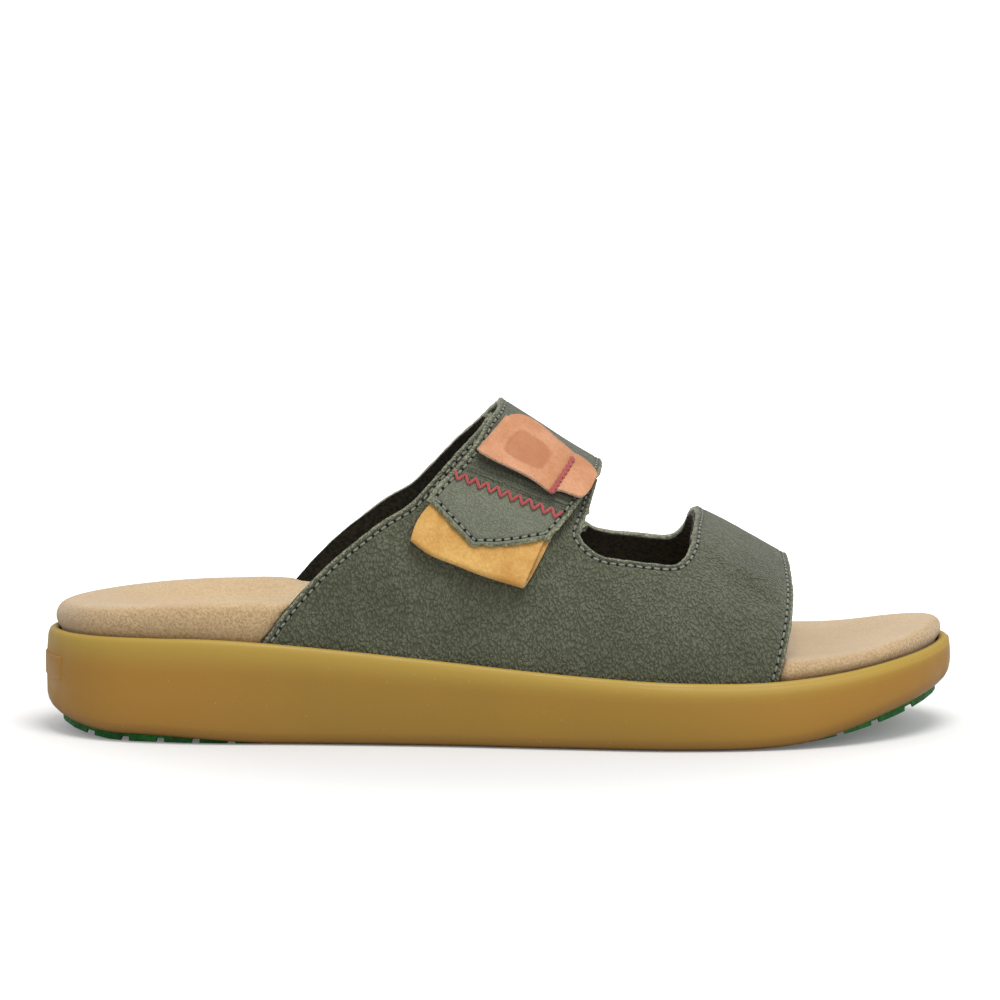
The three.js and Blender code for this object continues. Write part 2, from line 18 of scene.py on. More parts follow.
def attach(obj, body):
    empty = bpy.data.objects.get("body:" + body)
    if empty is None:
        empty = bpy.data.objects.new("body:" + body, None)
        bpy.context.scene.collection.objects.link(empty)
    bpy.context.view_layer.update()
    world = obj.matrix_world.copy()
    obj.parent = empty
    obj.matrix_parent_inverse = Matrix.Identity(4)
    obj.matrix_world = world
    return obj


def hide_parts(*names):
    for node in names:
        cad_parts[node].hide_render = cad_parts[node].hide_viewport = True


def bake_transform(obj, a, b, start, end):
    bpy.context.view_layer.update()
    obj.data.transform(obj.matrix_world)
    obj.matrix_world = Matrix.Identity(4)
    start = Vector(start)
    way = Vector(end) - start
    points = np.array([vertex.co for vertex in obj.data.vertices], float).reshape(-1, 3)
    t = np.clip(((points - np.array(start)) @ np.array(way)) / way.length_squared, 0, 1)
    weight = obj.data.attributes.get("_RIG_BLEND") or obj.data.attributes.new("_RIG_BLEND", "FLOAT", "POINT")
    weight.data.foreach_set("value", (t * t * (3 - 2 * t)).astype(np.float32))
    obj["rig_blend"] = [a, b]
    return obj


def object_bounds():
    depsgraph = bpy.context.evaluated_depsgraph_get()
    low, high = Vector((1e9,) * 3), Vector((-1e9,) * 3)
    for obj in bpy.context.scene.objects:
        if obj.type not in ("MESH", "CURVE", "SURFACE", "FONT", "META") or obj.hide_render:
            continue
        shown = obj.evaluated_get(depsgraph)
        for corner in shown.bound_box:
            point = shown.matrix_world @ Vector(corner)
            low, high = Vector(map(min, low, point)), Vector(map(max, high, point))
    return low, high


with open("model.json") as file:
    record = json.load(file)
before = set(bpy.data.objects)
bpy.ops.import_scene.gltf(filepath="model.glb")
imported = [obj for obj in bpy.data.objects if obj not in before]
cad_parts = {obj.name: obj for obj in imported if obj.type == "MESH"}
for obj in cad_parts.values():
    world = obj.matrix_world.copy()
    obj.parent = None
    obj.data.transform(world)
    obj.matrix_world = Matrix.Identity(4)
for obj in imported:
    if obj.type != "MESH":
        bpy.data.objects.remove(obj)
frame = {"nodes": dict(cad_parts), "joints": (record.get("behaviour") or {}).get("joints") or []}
cad_low, cad_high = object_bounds()
MM = 0.001
LENGTH = (cad_high.x - cad_low.x) / MM
WIDTH = (cad_high.y - cad_low.y) / MM
INSTEP_HEIGHT = 103.6
print(f"sole {LENGTH:.1f} by {WIDTH:.1f} mm, strap top at {INSTEP_HEIGHT} mm")

# %% [markdown]
# A shoe is drawn from a few curves: the plan of the sole and some heights along it. A spline through
# listed stations gives each of them. They repeat the CAD's own curves, so that every new surface
# lands where the imported solid is.

# %% Curves through stations
def along(share):
    return (share - 0.5) * LENGTH


def up(share):
    return share * INSTEP_HEIGHT


def side_view(stations):
    return np.array([(along(f), up(h)) for f, h in stations])


def spline(points, steps):
    p = np.asarray(points, float)
    last = len(p) - 1
    t = np.linspace(0, last, steps + 1)
    i = np.minimum(t.astype(int), last - 1)
    w = (t - i)[:, None]
    before, here = p[np.maximum(i - 1, 0)], p[i]
    there, after = p[i + 1], p[np.minimum(i + 2, last)]
    leave, arrive = (there - before) / 2, (after - here) / 2
    cubic = 2 * (here - there) + leave + arrive
    square = 3 * (there - here) - 2 * leave - arrive
    return ((cubic * w + square) * w + leave) * w + here


def closed_curve(points, steps):
    p = np.asarray(points, float)
    w = np.linspace(0, 1, steps, endpoint=False)[:, None]
    spans = []
    for i in range(len(p)):
        a, b, c, d = (p[(i + k) % len(p)] for k in (-1, 0, 1, 2))
        ab, bc, cd = (np.linalg.norm(q - r) ** 0.5 for q, r in ((a, b), (b, c), (c, d)))
        leave = ((b - a) / ab - (c - a) / (ab + bc) + (c - b) / bc) * bc
        arrive = ((c - b) / bc - (d - b) / (bc + cd) + (d - c) / cd) * bc
        square = 3 * (c - b) - 2 * leave - arrive
        cubic = 2 * (b - c) + leave + arrive
        spans.append(b + (leave + (square + cubic * w) * w) * w)
    return np.concatenate(spans)


def smooth_step(value):
    t = np.clip(value, 0, 1)
    return t * t * (3 - 2 * t)


def height_curve(stations):
    samples = spline([(along(f), z) for f, z in stations], 100)
    return lambda x: np.interp(x, samples[:, 0], samples[:, 1])


# %% The plan of the sole
OUTLINE = [
    (0, 0), (0.02, -0.33), (0.065, -0.57), (0.15, -0.71), (0.29, -0.745), (0.43, -0.81),
    (0.57, -0.925), (0.69, -1), (0.8, -0.94), (0.89, -0.745), (0.955, -0.44), (0.99, -0.1),
    (0.998, 0.2), (0.985, 0.48), (0.94, 0.76), (0.855, 0.93), (0.745, 1), (0.64, 0.92),
    (0.5, 0.745), (0.36, 0.67), (0.22, 0.69), (0.11, 0.65), (0.045, 0.47), (0.01, 0.24),
]
SOLE = closed_curve([(along(f), w * WIDTH / 2) for f, w in OUTLINE], 60)
SOLE -= (SOLE.max(0) + SOLE.min(0)) / 2
SOLE *= np.array([LENGTH, WIDTH]) / (SOLE.max(0) - SOLE.min(0))
run = np.roll(SOLE, -1, 0) - np.roll(SOLE, 1, 0)
INWARD = np.stack([-run[:, 1], run[:, 0]], 1) / np.linalg.norm(run, axis=1)[:, None]


def walls(inset):
    """The outer (lateral) and inner (medial) side of the outline, moved in, both from heel to toe."""
    ring = SOLE + INWARD * inset
    heel, toe = ring[:, 0].argmin(), ring[:, 0].argmax()
    turned = np.roll(ring, -heel, 0)
    split = (toe - heel) % len(ring)
    medial = np.vstack([turned[:1], turned[: split - 1 : -1]])
    return turned[: split + 1], medial


def wall_y(wall, x):
    order = np.argsort(wall[:, 0])
    return np.interp(x, wall[order, 0], wall[order, 1])


print("outline points", len(SOLE))

# %% Heights along the sole
RIM_HEEL, RIM_BALL, RIM_TOE = 32.5, 20.8, 29.6
BED_HEEL, BED_BALL, BED_TOE = 43.3, 27.2, 36.0
TREAD, GAP, CUP_WALL = 2.2, 0.3, 4.0
HEEL_LIFT, TOE_SPRING = 5.0, 13.3
STRAP_OUTER = 4.0

rim = height_curve([
    (-0.01, RIM_HEEL - 0.7), (0.12, RIM_HEEL), (0.24, RIM_HEEL - 1), (0.57, RIM_BALL + 2.2),
    (0.74, RIM_BALL), (0.85, RIM_BALL + 1.3), (0.965, RIM_TOE - 2.9), (1.01, RIM_TOE),
])
bed_top = height_curve([
    (-0.01, BED_HEEL - 4), (0.09, BED_HEEL - 1.7), (0.2, BED_HEEL), (0.3, BED_HEEL - 1),
    (0.56, BED_BALL + 5), (0.74, BED_BALL + 0.6), (0.88, BED_BALL + 0.8), (1.01, BED_TOE),
])
slope = math.atan((up(1) - up(0.802)) / (along(0.615) - along(0.5)))
rise = STRAP_OUTER / math.cos(slope)
crest = height_curve([
    (0.2, up(1.52) - rise), (0.5, up(1) - rise), (0.615, up(0.802) - rise),
    (0.722, up(0.6525)), (0.825, up(0.5)), (0.9, up(0.38)),
])


def sole_bottom(x):
    heel, toe = along(0.093), along(0.747)
    lift = HEEL_LIFT * np.maximum((heel - x) / (heel - along(0)), 0) ** 2
    return lift + TOE_SPRING * np.maximum((x - toe) / (along(1) - toe), 0) ** 2


cup_base = height_curve([(-0.01, 13.5), (0.25, 13.5), (0.6, 6), (1.01, 6)])


def cup_bottom(x):
    return sole_bottom(x) + TREAD + GAP


print(f"rim at the heel {float(rim(along(0.1))):.1f}, crest at the instep {float(crest(0)):.1f} mm")

# %% [markdown]
# The upper and everything on it lie on one form, like leather pulled over a wooden last. A place on
# the form is a station along the foot and an angle round it: 0 at the inner wall, a quarter turn at
# the crest, a half turn at the outer wall. Layers are the same places, raised by their thickness.

# %% The last that the upper is pulled over
CREST_SHIFT = 5.0
DEPTH_PER_RADIAN = 30.0
LATERAL, MEDIAL = -1, 1
cup_lateral, cup_medial = walls(CUP_WALL + GAP)


def power(value, n):
    return np.sign(value) * np.abs(value) ** (2 / n)


def arch_exponent(x):
    share = np.clip((x - along(0.5)) / (along(0.75) - along(0.5)), 0, 1)
    return 2.15 + 0.15 * share


def form_point(x, turn):
    lateral, medial = wall_y(cup_lateral, x), wall_y(cup_medial, x)
    middle, half = (lateral + medial) / 2, (medial - lateral) / 2
    base, n = rim(x), arch_exponent(x)
    c, s = np.cos(turn), np.sin(turn)
    below = np.maximum(-turn, turn - math.pi)
    in_cup = below > 0
    y = np.where(in_cup, middle + half * np.sign(c), middle + half * power(c, n) + CREST_SHIFT * s * s)
    z = np.where(in_cup, base - DEPTH_PER_RADIAN * below, base + (crest(x) - base) * power(s, n))
    return np.stack([x + 0 * y, y, z], -1)


def form_normal(x, turn):
    dx, da = 0.5, 0.01
    along_x = form_point(x + dx, turn) - form_point(x - dx, turn)
    around = form_point(x, turn + da) - form_point(x, turn - da)
    normal = np.cross(around, along_x)
    return normal / np.linalg.norm(normal, axis=-1, keepdims=True)


def raised(x, turn, distance):
    lift = distance(turn) if callable(distance) else distance
    return form_point(x, turn) + form_normal(x, turn) * np.asarray(lift)[..., None]


def on_face(where, distance=0.0):
    """Points in mm for rows of (station, angle)."""
    return raised(where[:, 0], where[:, 1], distance)


def lay(x, z, side, distance):
    """Station and angle of the raised point that is seen at (x, z) from one side."""
    x, z = np.asarray(x, float), np.asarray(z, float)
    station, height = x.copy(), z.copy()
    for _ in range(10):
        base, top = rim(station), crest(station)
        share = np.clip((height - base) / (top - base), 0, 1)
        turn = np.arcsin(share ** (arch_exponent(station) / 2))
        turn = np.where(height < base, (height - base) / DEPTH_PER_RADIAN, turn)
        turn = turn if side > 0 else math.pi - turn
        point = raised(station, turn, distance)
        station = station + x - point[..., 0]
        height = np.minimum(height + z - point[..., 2], top + 0.5)
    return station, turn


print("crest over the ball", form_point(np.array([80.0]), np.array([math.pi / 2])).round(1).tolist())

# %% [markdown]
# Every new piece is a bmesh: a grid or a circle from an operator, moved onto the last or lofted by
# extrusions. These helpers turn one into an object whose place is in its mesh.

# %% Helpers for pieces
def finish_piece(name, bm, body=None, materials=(), smooth=True):
    mesh = bpy.data.meshes.new(name)
    bm.normal_update()
    bm.to_mesh(mesh)
    bm.free()
    for polygon in mesh.polygons:
        polygon.use_smooth = smooth
    piece = bpy.data.objects.new(name, mesh)
    bpy.context.scene.collection.objects.link(piece)
    for material in materials:
        mesh.materials.append(material)
    if body:
        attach(piece, body)
    print(f"{name}: {len(mesh.polygons)} faces")
    return piece


def cluster(t, strength=0.7):
    """Shares from 0 to 1, closer together near both ends."""
    return t - strength * np.sin(2 * math.pi * t) / (2 * math.pi)


def sheet_of(bm, across, down, place, outward, outer_from=0.0, outer_axis=1):
    """Adds a grid, moves it to place(u, v) in mm and turns its faces to point outward.

    Only the faces whose grid place is past outer_from along outer_axis take part in that test."""
    made = bmesh.ops.create_grid(bm, x_segments=across, y_segments=down, size=1)["verts"]
    uv = (np.array([v.co for v in made]) + 1) / 2
    tested = {vert for vert, share in zip(made, uv[:, outer_axis]) if share >= outer_from}
    for vert, point in zip(made, place(uv[:, 0], uv[:, 1])):
        vert.co = point * MM
    faces = list(dict.fromkeys(f for vert in made for f in vert.link_faces))
    bm.normal_update()
    facing = 0.0
    for face in faces:
        if tested.issuperset(face.verts):
            centre = np.array(face.calc_center_median()) / MM
            facing += Vector(outward(centre)).dot(face.normal)
    if facing < 0:
        bmesh.ops.reverse_faces(bm, faces=faces)
    return made


def from_last(point):
    """A direction away from the middle of the foot."""
    return (0, point[1] - CREST_SHIFT, max(point[2] - 40, 0))


def solidify(piece, thickness, rim_material=0, offset=-1.0):
    wall = piece.modifiers.new("wall", "SOLIDIFY")
    wall.thickness = thickness * MM
    wall.offset = offset
    wall.use_rim = True
    wall.use_even_offset = False
    wall.material_offset_rim = rim_material
    return wall


def lengths(points):
    steps = np.linalg.norm(np.diff(points, axis=0), axis=1)
    return np.concatenate([[0], np.cumsum(steps)])


def at(share, shares, values):
    return np.stack([np.interp(share, shares, values[:, k]) for k in range(values.shape[1])], -1)


def resample(points, spacing):
    run = lengths(points)
    count = max(int(round(run[-1] / spacing)), 2)
    return at(np.linspace(0, run[-1], count + 1), run, points)


print("helpers ready")

# %% [markdown]
# Finishes are node trees on Object coordinates, in metres, so a scale of 1000 makes millimetre-sized
# detail. Three effects serve several materials: hide grain, mottling, and short nap. Each is a shader
# node group that gives values only, and the Principled shader stays in the material.

# %% Node helpers
def add(tree, kind, inputs=None, **properties):
    """A new node. Its properties are set first, then each input gets a value or a link."""
    made = tree.nodes.new(kind)
    for key, value in properties.items():
        setattr(made, key, value)
    for key, value in (inputs or {}).items():
        if isinstance(value, bpy.types.NodeSocket):
            tree.links.new(value, made.inputs[key])
        else:
            made.inputs[key].default_value = value
    return made


def math_node(tree, operation, first, second=0.0):
    return add(tree, "ShaderNodeMath", {0: first, 1: second}, operation=operation).outputs[0]


def ramp(tree, value, low, high, to_low=0.0, to_high=1.0):
    inputs = {"Value": value, "From Min": low, "From Max": high, "To Min": to_low, "To Max": to_high}
    return add(tree, "ShaderNodeMapRange", inputs, interpolation_type="SMOOTHSTEP").outputs["Result"]


def mix(tree, factor, first, second):
    return add(tree, "ShaderNodeMix", {0: factor, 6: first, 7: second}, data_type="RGBA").outputs[2]


def fractal(tree, vector, scale, detail, **inputs):
    every = {"Vector": vector, "Scale": scale, "Detail": detail, **inputs}
    return add(tree, "ShaderNodeTexNoise", every).outputs["Fac"]


def attribute(tree, name):
    return add(tree, "ShaderNodeAttribute", attribute_name=name).outputs["Fac"]


LIGHT_GAIN = 1.15
HAZE = 0.006
DARKEST = 0.002


def paint(red, green, blue):
    """A colour seen under the studio light, from 0 to 255, as the shader's linear base colour."""
    shares = [c / 255 for c in (red, green, blue)]
    linear = [c / 12.92 if c <= 0.04045 else ((c + 0.055) / 1.055) ** 2.4 for c in shares]
    return (*[max(c / LIGHT_GAIN - HAZE, DARKEST) for c in linear], 1.0)


def tint(tree, colour, mask, share, over):
    """Lays another colour, from 0 to 255, over the first by a share of the mask."""
    return mix(tree, math_node(tree, "MULTIPLY", mask, share), colour, paint(*over))


def group(name, inputs, outputs):
    tree = bpy.data.node_groups.new(name, "ShaderNodeTree")
    for label, kind, default in inputs:
        socket = tree.interface.new_socket(label, in_out="INPUT", socket_type=kind)
        if default is not None:
            socket.default_value = default
    for label in outputs:
        tree.interface.new_socket(label, in_out="OUTPUT", socket_type="NodeSocketFloat")
    return tree, tree.nodes.new("NodeGroupInput").outputs, tree.nodes.new("NodeGroupOutput").inputs


def use(tree, shared, inputs):
    return add(tree, "ShaderNodeGroup", inputs, node_tree=shared).outputs


# %% Shared effects: hide grain, mottling and nap
VECTOR, FLOAT = "NodeSocketVector", "NodeSocketFloat"


def hide_grain():
    """Soft pebbles about a millimetre wide, drawn out along the stretch, with fine grain on them."""
    tree, source, result = group(
        "hide_grain", [("Vector", VECTOR, None), ("Scale", FLOAT, 1100.0)], ("Height", "Crease"))
    wander = add(tree, "ShaderNodeTexNoise", {"Vector": source["Vector"], "Scale": 260.0, "Detail": 3.0})
    shift = add(tree, "ShaderNodeVectorMath",
                {0: wander.outputs["Color"], "Scale": 0.0024}, operation="SCALE")
    moved = add(tree, "ShaderNodeVectorMath", {0: source["Vector"], 1: shift.outputs[0]})
    turn = (0, math.radians(-40), 0)
    skew = add(tree, "ShaderNodeMapping",
               {"Vector": moved.outputs[0], "Rotation": turn, "Scale": (0.85, 1.0, 0.5)})
    cells = add(tree, "ShaderNodeTexVoronoi",
                {"Vector": skew.outputs[0], "Scale": source["Scale"], "Smoothness": 0.2}, feature="SMOOTH_F1")
    pebble = ramp(tree, cells.outputs["Distance"], 0.85, 0.2)
    fine = fractal(tree, skew.outputs[0], 2100.0, 4.0)
    slow = fractal(tree, skew.outputs[0], 170.0, 2.0)
    height = math_node(tree, "ADD", math_node(tree, "MULTIPLY", fine, 0.55), pebble)
    gentle = math_node(tree, "ADD", height, math_node(tree, "MULTIPLY", slow, 0.5))
    tree.links.new(math_node(tree, "MULTIPLY", gentle, 0.6), result["Height"])
    tree.links.new(ramp(tree, height, 1.25, 0.2), result["Crease"])
    return tree


def mottling():
    """Slow changes of tone in a dyed or cast surface: a broad one and a finer one."""
    tree, source, result = group(
        "mottling", [("Vector", VECTOR, None), ("Scale", FLOAT, 60.0)], ("Broad", "Fine"))
    broad = fractal(tree, source["Vector"], source["Scale"], 3.0, Roughness=0.6)
    fine = fractal(tree, source["Vector"], math_node(tree, "MULTIPLY", source["Scale"], 7.0), 4.0)
    tree.links.new(ramp(tree, broad, 0.3, 0.7), result["Broad"])
    tree.links.new(ramp(tree, fine, 0.3, 0.7), result["Fine"])
    return tree


def nap():
    """Short fibres: fine noise drawn out a little along the brushed way, in small clumps."""
    tree, source, result = group(
        "nap", [("Vector", VECTOR, None), ("Scale", FLOAT, 1400.0)], ("Height", "Speck"))
    comb = add(tree, "ShaderNodeMapping",
               {"Vector": source["Vector"], "Rotation": (0.5, 0.6, 0.3), "Scale": (1.0, 0.7, 0.6)})
    streaks = fractal(tree, comb.outputs[0], source["Scale"], 4.0, Distortion=0.5)
    clumps = fractal(tree, source["Vector"], math_node(tree, "MULTIPLY", source["Scale"], 0.5), 3.0)
    total = math_node(tree, "ADD", streaks, clumps)
    tree.links.new(math_node(tree, "MULTIPLY", total, 0.5), result["Height"])
    tree.links.new(ramp(tree, total, 0.7, 1.3), result["Speck"])
    return tree


HIDE_GRAIN, MOTTLING, NAP = hide_grain(), mottling(), nap()
print("node groups", [g.name for g in bpy.data.node_groups])

# %% A material's frame: coordinates, shader and bump
def begin(name, **sockets):
    material = bpy.data.materials.new(name)
    material.use_nodes = True
    tree = material.node_tree
    shader = next(n for n in tree.nodes if n.type == "BSDF_PRINCIPLED")
    for key, value in sockets.items():
        shader.inputs[key.replace("_", " ")].default_value = value
    place = tree.nodes.new("ShaderNodeTexCoord").outputs["Object"]
    return material, tree, shader, place


def bump(tree, shader, height, depth, strength=1.0):
    """Depth is in millimetres, for a height that goes from 0 to 1."""
    relief = add(tree, "ShaderNodeBump", {"Height": height, "Distance": depth * MM, "Strength": strength})
    tree.links.new(relief.outputs["Normal"], shader.inputs["Normal"])


# %% [markdown]
# The upper is nubuck: leather buffed on its grain side. It keeps its pebbles, the creases between them
# are painted darker as painted shade, and tone wanders over the hide. Cut edges show the paler fibres inside.

# %% Nubuck and its raw edge
STITCH_INSET = 2.0
FOLDS_ALONG, FOLDS_ACROSS = 60, 900


def nubuck(name, dark, light, crease, pebble, depth):
    """Two mesh values steer it: edge_mm, the distance to a cut edge, lets fibres show along the
    edges and paints the stitched groove dark as painted shade, and bent brings fine folds where the leather
    bends, bumped and painted darker as painted shade."""
    material, tree, shader, place = begin(
        name, Sheen_Weight=0.2, Sheen_Roughness=0.45, Specular_IOR_Level=0.2)
    tone = use(tree, MOTTLING, {"Vector": place, "Scale": 55.0})
    grain = use(tree, HIDE_GRAIN, {"Vector": place, "Scale": pebble})
    fibres = use(tree, NAP, {"Vector": place, "Scale": 2300.0})
    edge = attribute(tree, "edge_mm")
    wander = math_node(tree, "ADD", edge, math_node(tree, "MULTIPLY", fibres["Speck"], -0.7))
    frayed = ramp(tree, wander, 0.95, 0.1)
    bent = attribute(tree, "bent")
    ways = ((FOLDS_ALONG * 0.935, 0, -FOLDS_ALONG * 0.354), (0, FOLDS_ALONG, 0),
            (-FOLDS_ACROSS * 0.354, 0, -FOLDS_ACROSS * 0.935))
    parts = [add(tree, "ShaderNodeVectorMath", {0: place, 1: way}, operation="DOT_PRODUCT")
             for way in ways]
    values = [part.outputs["Value"] for part in parts]
    folded_way = add(tree, "ShaderNodeCombineXYZ", dict(zip("XYZ", values))).outputs[0]
    folds = math_node(tree, "MULTIPLY", ramp(tree, fractal(tree, folded_way, 1.0, 2.0), 0.35, 0.65), bent)
    off_channel = math_node(tree, "ABSOLUTE", math_node(tree, "SUBTRACT", edge, STITCH_INSET))
    groove_shade = math_node(tree, "MULTIPLY", ramp(tree, off_channel, 0.75, 0.1), 0.55)
    colour = mix(tree, tone["Broad"], paint(*dark), paint(*light))
    colour = tint(tree, colour, tone["Fine"], 0.3, light)
    # Painted shade: the creases between the pebbles are painted darker with the crease colour.
    colour = tint(tree, colour, grain["Crease"], 0.5, crease)
    # Painted shade: the stitched groove is painted with the crease colour.
    colour = mix(tree, groove_shade, colour, paint(*crease))
    # Painted shade: the fine folds are painted darker with the crease colour, besides their bump.
    colour = tint(tree, colour, folds, 0.35, crease)
    fringe = mix(tree, fibres["Speck"], paint(84, 86, 66), paint(168, 170, 140))
    tree.links.new(mix(tree, frayed, colour, fringe), shader.inputs["Base Color"])
    tree.links.new(ramp(tree, grain["Crease"], 0, 1, 0.7, 0.92), shader.inputs["Roughness"])
    fuzzy = math_node(tree, "MULTIPLY", fibres["Height"], frayed)
    height = math_node(tree, "SUBTRACT", math_node(tree, "ADD", grain["Height"], fuzzy), folds)
    bump(tree, shader, height, depth)
    return material


def raw_edge(name, dark, light):
    material, tree, shader, place = begin(name, Roughness=0.95, Sheen_Weight=0.4, Specular_IOR_Level=0.15)
    fibres = use(tree, NAP, {"Vector": place, "Scale": 2600.0})
    colour = mix(tree, fibres["Speck"], paint(*dark), paint(*light))
    tree.links.new(colour, shader.inputs["Base Color"])
    bump(tree, shader, fibres["Height"], 0.35)
    return material


# The third colour of each nubuck is painted shade, for its creases, stitched groove and folds.
LEATHER_UPPER = nubuck("nubuck_upper", (94, 97, 79), (108, 111, 91), (56, 58, 44), 1500.0, 0.9)
LEATHER_STRAP = nubuck("nubuck_strap", (96, 100, 83), (110, 114, 96), (62, 65, 51), 1800.0, 0.6)
LEATHER_TIP = nubuck("nubuck_tip", (116, 120, 103), (128, 131, 114), (92, 95, 80), 2200.0, 0.3)
EDGE_GREEN = raw_edge("raw_edge_green", (86, 88, 68), (176, 176, 146))
EDGE_YELLOW = raw_edge("raw_edge_yellow", (196, 150, 78), (244, 220, 160))
EDGE_TAN = raw_edge("raw_edge_tan", (190, 130, 96), (236, 196, 166))

# %% [markdown]
# The footbed wears suede. Its fibres stand up on the side wall and lie flatter on top. The top is painted
# paler, partly for that nap and partly as painted light, and the side darker as painted shade. The mesh
# carries a value called band, from 0 on the side to 1 on the top, that mixes the two.

# %% Suede
def suede():
    material, tree, shader, place = begin(
        "suede_footbed", Roughness=0.95, Sheen_Weight=0.35, Sheen_Roughness=0.5, Specular_IOR_Level=0.15)
    band = attribute(tree, "band")
    tone = use(tree, MOTTLING, {"Vector": place, "Scale": 45.0})
    fibres = use(tree, NAP, {"Vector": place, "Scale": 2400.0})
    # Painted light and shade: the top colours are paler than the side ones, partly for the flatter nap.
    side = mix(tree, fibres["Speck"], paint(170, 140, 101), paint(206, 179, 140))
    top = mix(tree, fibres["Speck"], paint(194, 165, 126), paint(216, 189, 149))
    colour = mix(tree, band, side, top)
    colour = tint(tree, colour, tone["Broad"], 0.25, (176, 146, 106))
    tree.links.new(colour, shader.inputs["Base Color"])
    soft = ramp(tree, band, 0, 1, 1.0, 0.45)
    bump(tree, shader, math_node(tree, "MULTIPLY", fibres["Height"], soft), 0.55)
    return material


SUEDE = suede()

# %% [markdown]
# Gum rubber is clear and amber. The rounded rim is painted lighter and yellower than the wall, partly as
# the thin rubber's own colour and partly as a painted highlight. The same band value, from 0 at the bottom to
# 1 at the rim, carries that change, and the wall turns darker towards the bottom.

# %% Gum rubber and green tread rubber
def gum():
    material, tree, shader, place = begin("gum_rubber", Specular_IOR_Level=0.32)
    band = attribute(tree, "band")
    tone = use(tree, MOTTLING, {"Vector": place, "Scale": 16.0})
    spread = add(tree, "ShaderNodeSeparateXYZ", {0: place}).outputs
    olive = ramp(tree, math_node(tree, "ABSOLUTE", spread["X"]), 0.115, 0.045)
    wall = mix(tree, olive, paint(168, 122, 52), paint(154, 120, 50))
    wall = tint(tree, wall, tone["Broad"], 0.35, (172, 130, 52))
    # Painted highlight: the rim band is painted lighter and yellower, partly as the thin rubber's own colour.
    colour = mix(tree, ramp(tree, band, 0.62, 0.97), wall, paint(176, 146, 66))
    colour = mix(tree, ramp(tree, band, 0.3, 0.05), colour, paint(140, 102, 44))
    # Painted glints: small pale spots scattered over the rubber.
    glint_cells = add(tree, "ShaderNodeTexVoronoi", {"Vector": place, "Scale": 260.0}, feature="F1")
    glint_spots = ramp(tree, glint_cells.outputs["Distance"], 0.075, 0.035)
    colour = tint(tree, colour, glint_spots, 0.5, (196, 164, 100))
    tree.links.new(colour, shader.inputs["Base Color"])
    tree.links.new(ramp(tree, tone["Fine"], 0, 1, 0.42, 0.55), shader.inputs["Roughness"])
    bump(tree, shader, fractal(tree, place, 900.0, 3.0), 0.05)
    return material


def tread_rubber():
    material, tree, shader, place = begin("green_rubber", Specular_IOR_Level=0.35)
    tone = use(tree, MOTTLING, {"Vector": place, "Scale": 90.0})
    colour = mix(tree, tone["Broad"], paint(16, 84, 30), paint(34, 118, 46))
    colour = tint(tree, colour, tone["Fine"], 0.3, (12, 60, 22))
    tree.links.new(colour, shader.inputs["Base Color"])
    tree.links.new(ramp(tree, tone["Fine"], 0, 1, 0.5, 0.75), shader.inputs["Roughness"])
    bump(tree, shader, tone["Fine"], 0.08)
    return material


GUM, TREAD_RUBBER = gum(), tread_rubber()

# %% [markdown]
# The label and the pull tab are plain leather: one vegetable tanned and salmon, one yellow nubuck. The
# lining is a dark brushed textile, the tapes are hook and loop, and every thread is twisted, which
# a fine wave along its own UV map shows, its pale stripes a painted highlight. The mesh value pressed darkens
# the label's middle.

# %% Plain leathers, textiles and threads
def plain_leather(name, dark, light, mark, depth, rough):
    material, tree, shader, place = begin(name, Specular_IOR_Level=0.3, Sheen_Weight=0.15, Roughness=rough)
    tone = use(tree, MOTTLING, {"Vector": place, "Scale": 85.0})
    pores = use(tree, NAP, {"Vector": place, "Scale": 1900.0})
    colour = mix(tree, tone["Broad"], paint(*dark), paint(*light))
    colour = tint(tree, colour, pores["Speck"], 0.35, mark)
    pressed = attribute(tree, "pressed")
    colour = tint(tree, colour, pressed, 0.6, mark)
    tree.links.new(colour, shader.inputs["Base Color"])
    bump(tree, shader, pores["Height"], depth)
    return material


def textile(name, dark, light, scale, depth):
    material, tree, shader, place = begin(name, Roughness=0.95, Sheen_Weight=0.25, Specular_IOR_Level=0.1)
    loops = add(tree, "ShaderNodeTexVoronoi", {"Vector": place, "Scale": scale}, feature="SMOOTH_F1")
    fuzz = use(tree, NAP, {"Vector": place, "Scale": 2200.0})
    height = math_node(tree, "ADD", loops.outputs["Distance"], fuzz["Height"])
    colour = mix(tree, ramp(tree, height, 0.5, 1.3), paint(*dark), paint(*light))
    tree.links.new(colour, shader.inputs["Base Color"])
    bump(tree, shader, height, depth)
    return material


def thread(name, dark, light):
    material, tree, shader, place = begin(name, Roughness=0.5, Specular_IOR_Level=0.5, Sheen_Weight=0.3)
    uv = add(tree, "ShaderNodeUVMap", uv_map="twist").outputs["UV"]
    turned = add(tree, "ShaderNodeMapping", {"Vector": uv, "Scale": (2.0, 5.0, 1.0), "Rotation": (0, 0, 0.6)})
    plies = add(tree, "ShaderNodeTexWave", {"Vector": turned.outputs[0], "Scale": 1.2, "Distortion": 0.8})
    # Painted highlight: the light colour of the twist stands for light on the plies, and the dark one is the
    # thread's own.
    tree.links.new(mix(tree, plies.outputs["Fac"], paint(*dark), paint(*light)), shader.inputs["Base Color"])
    bump(tree, shader, plies.outputs["Fac"], 0.12)
    return material


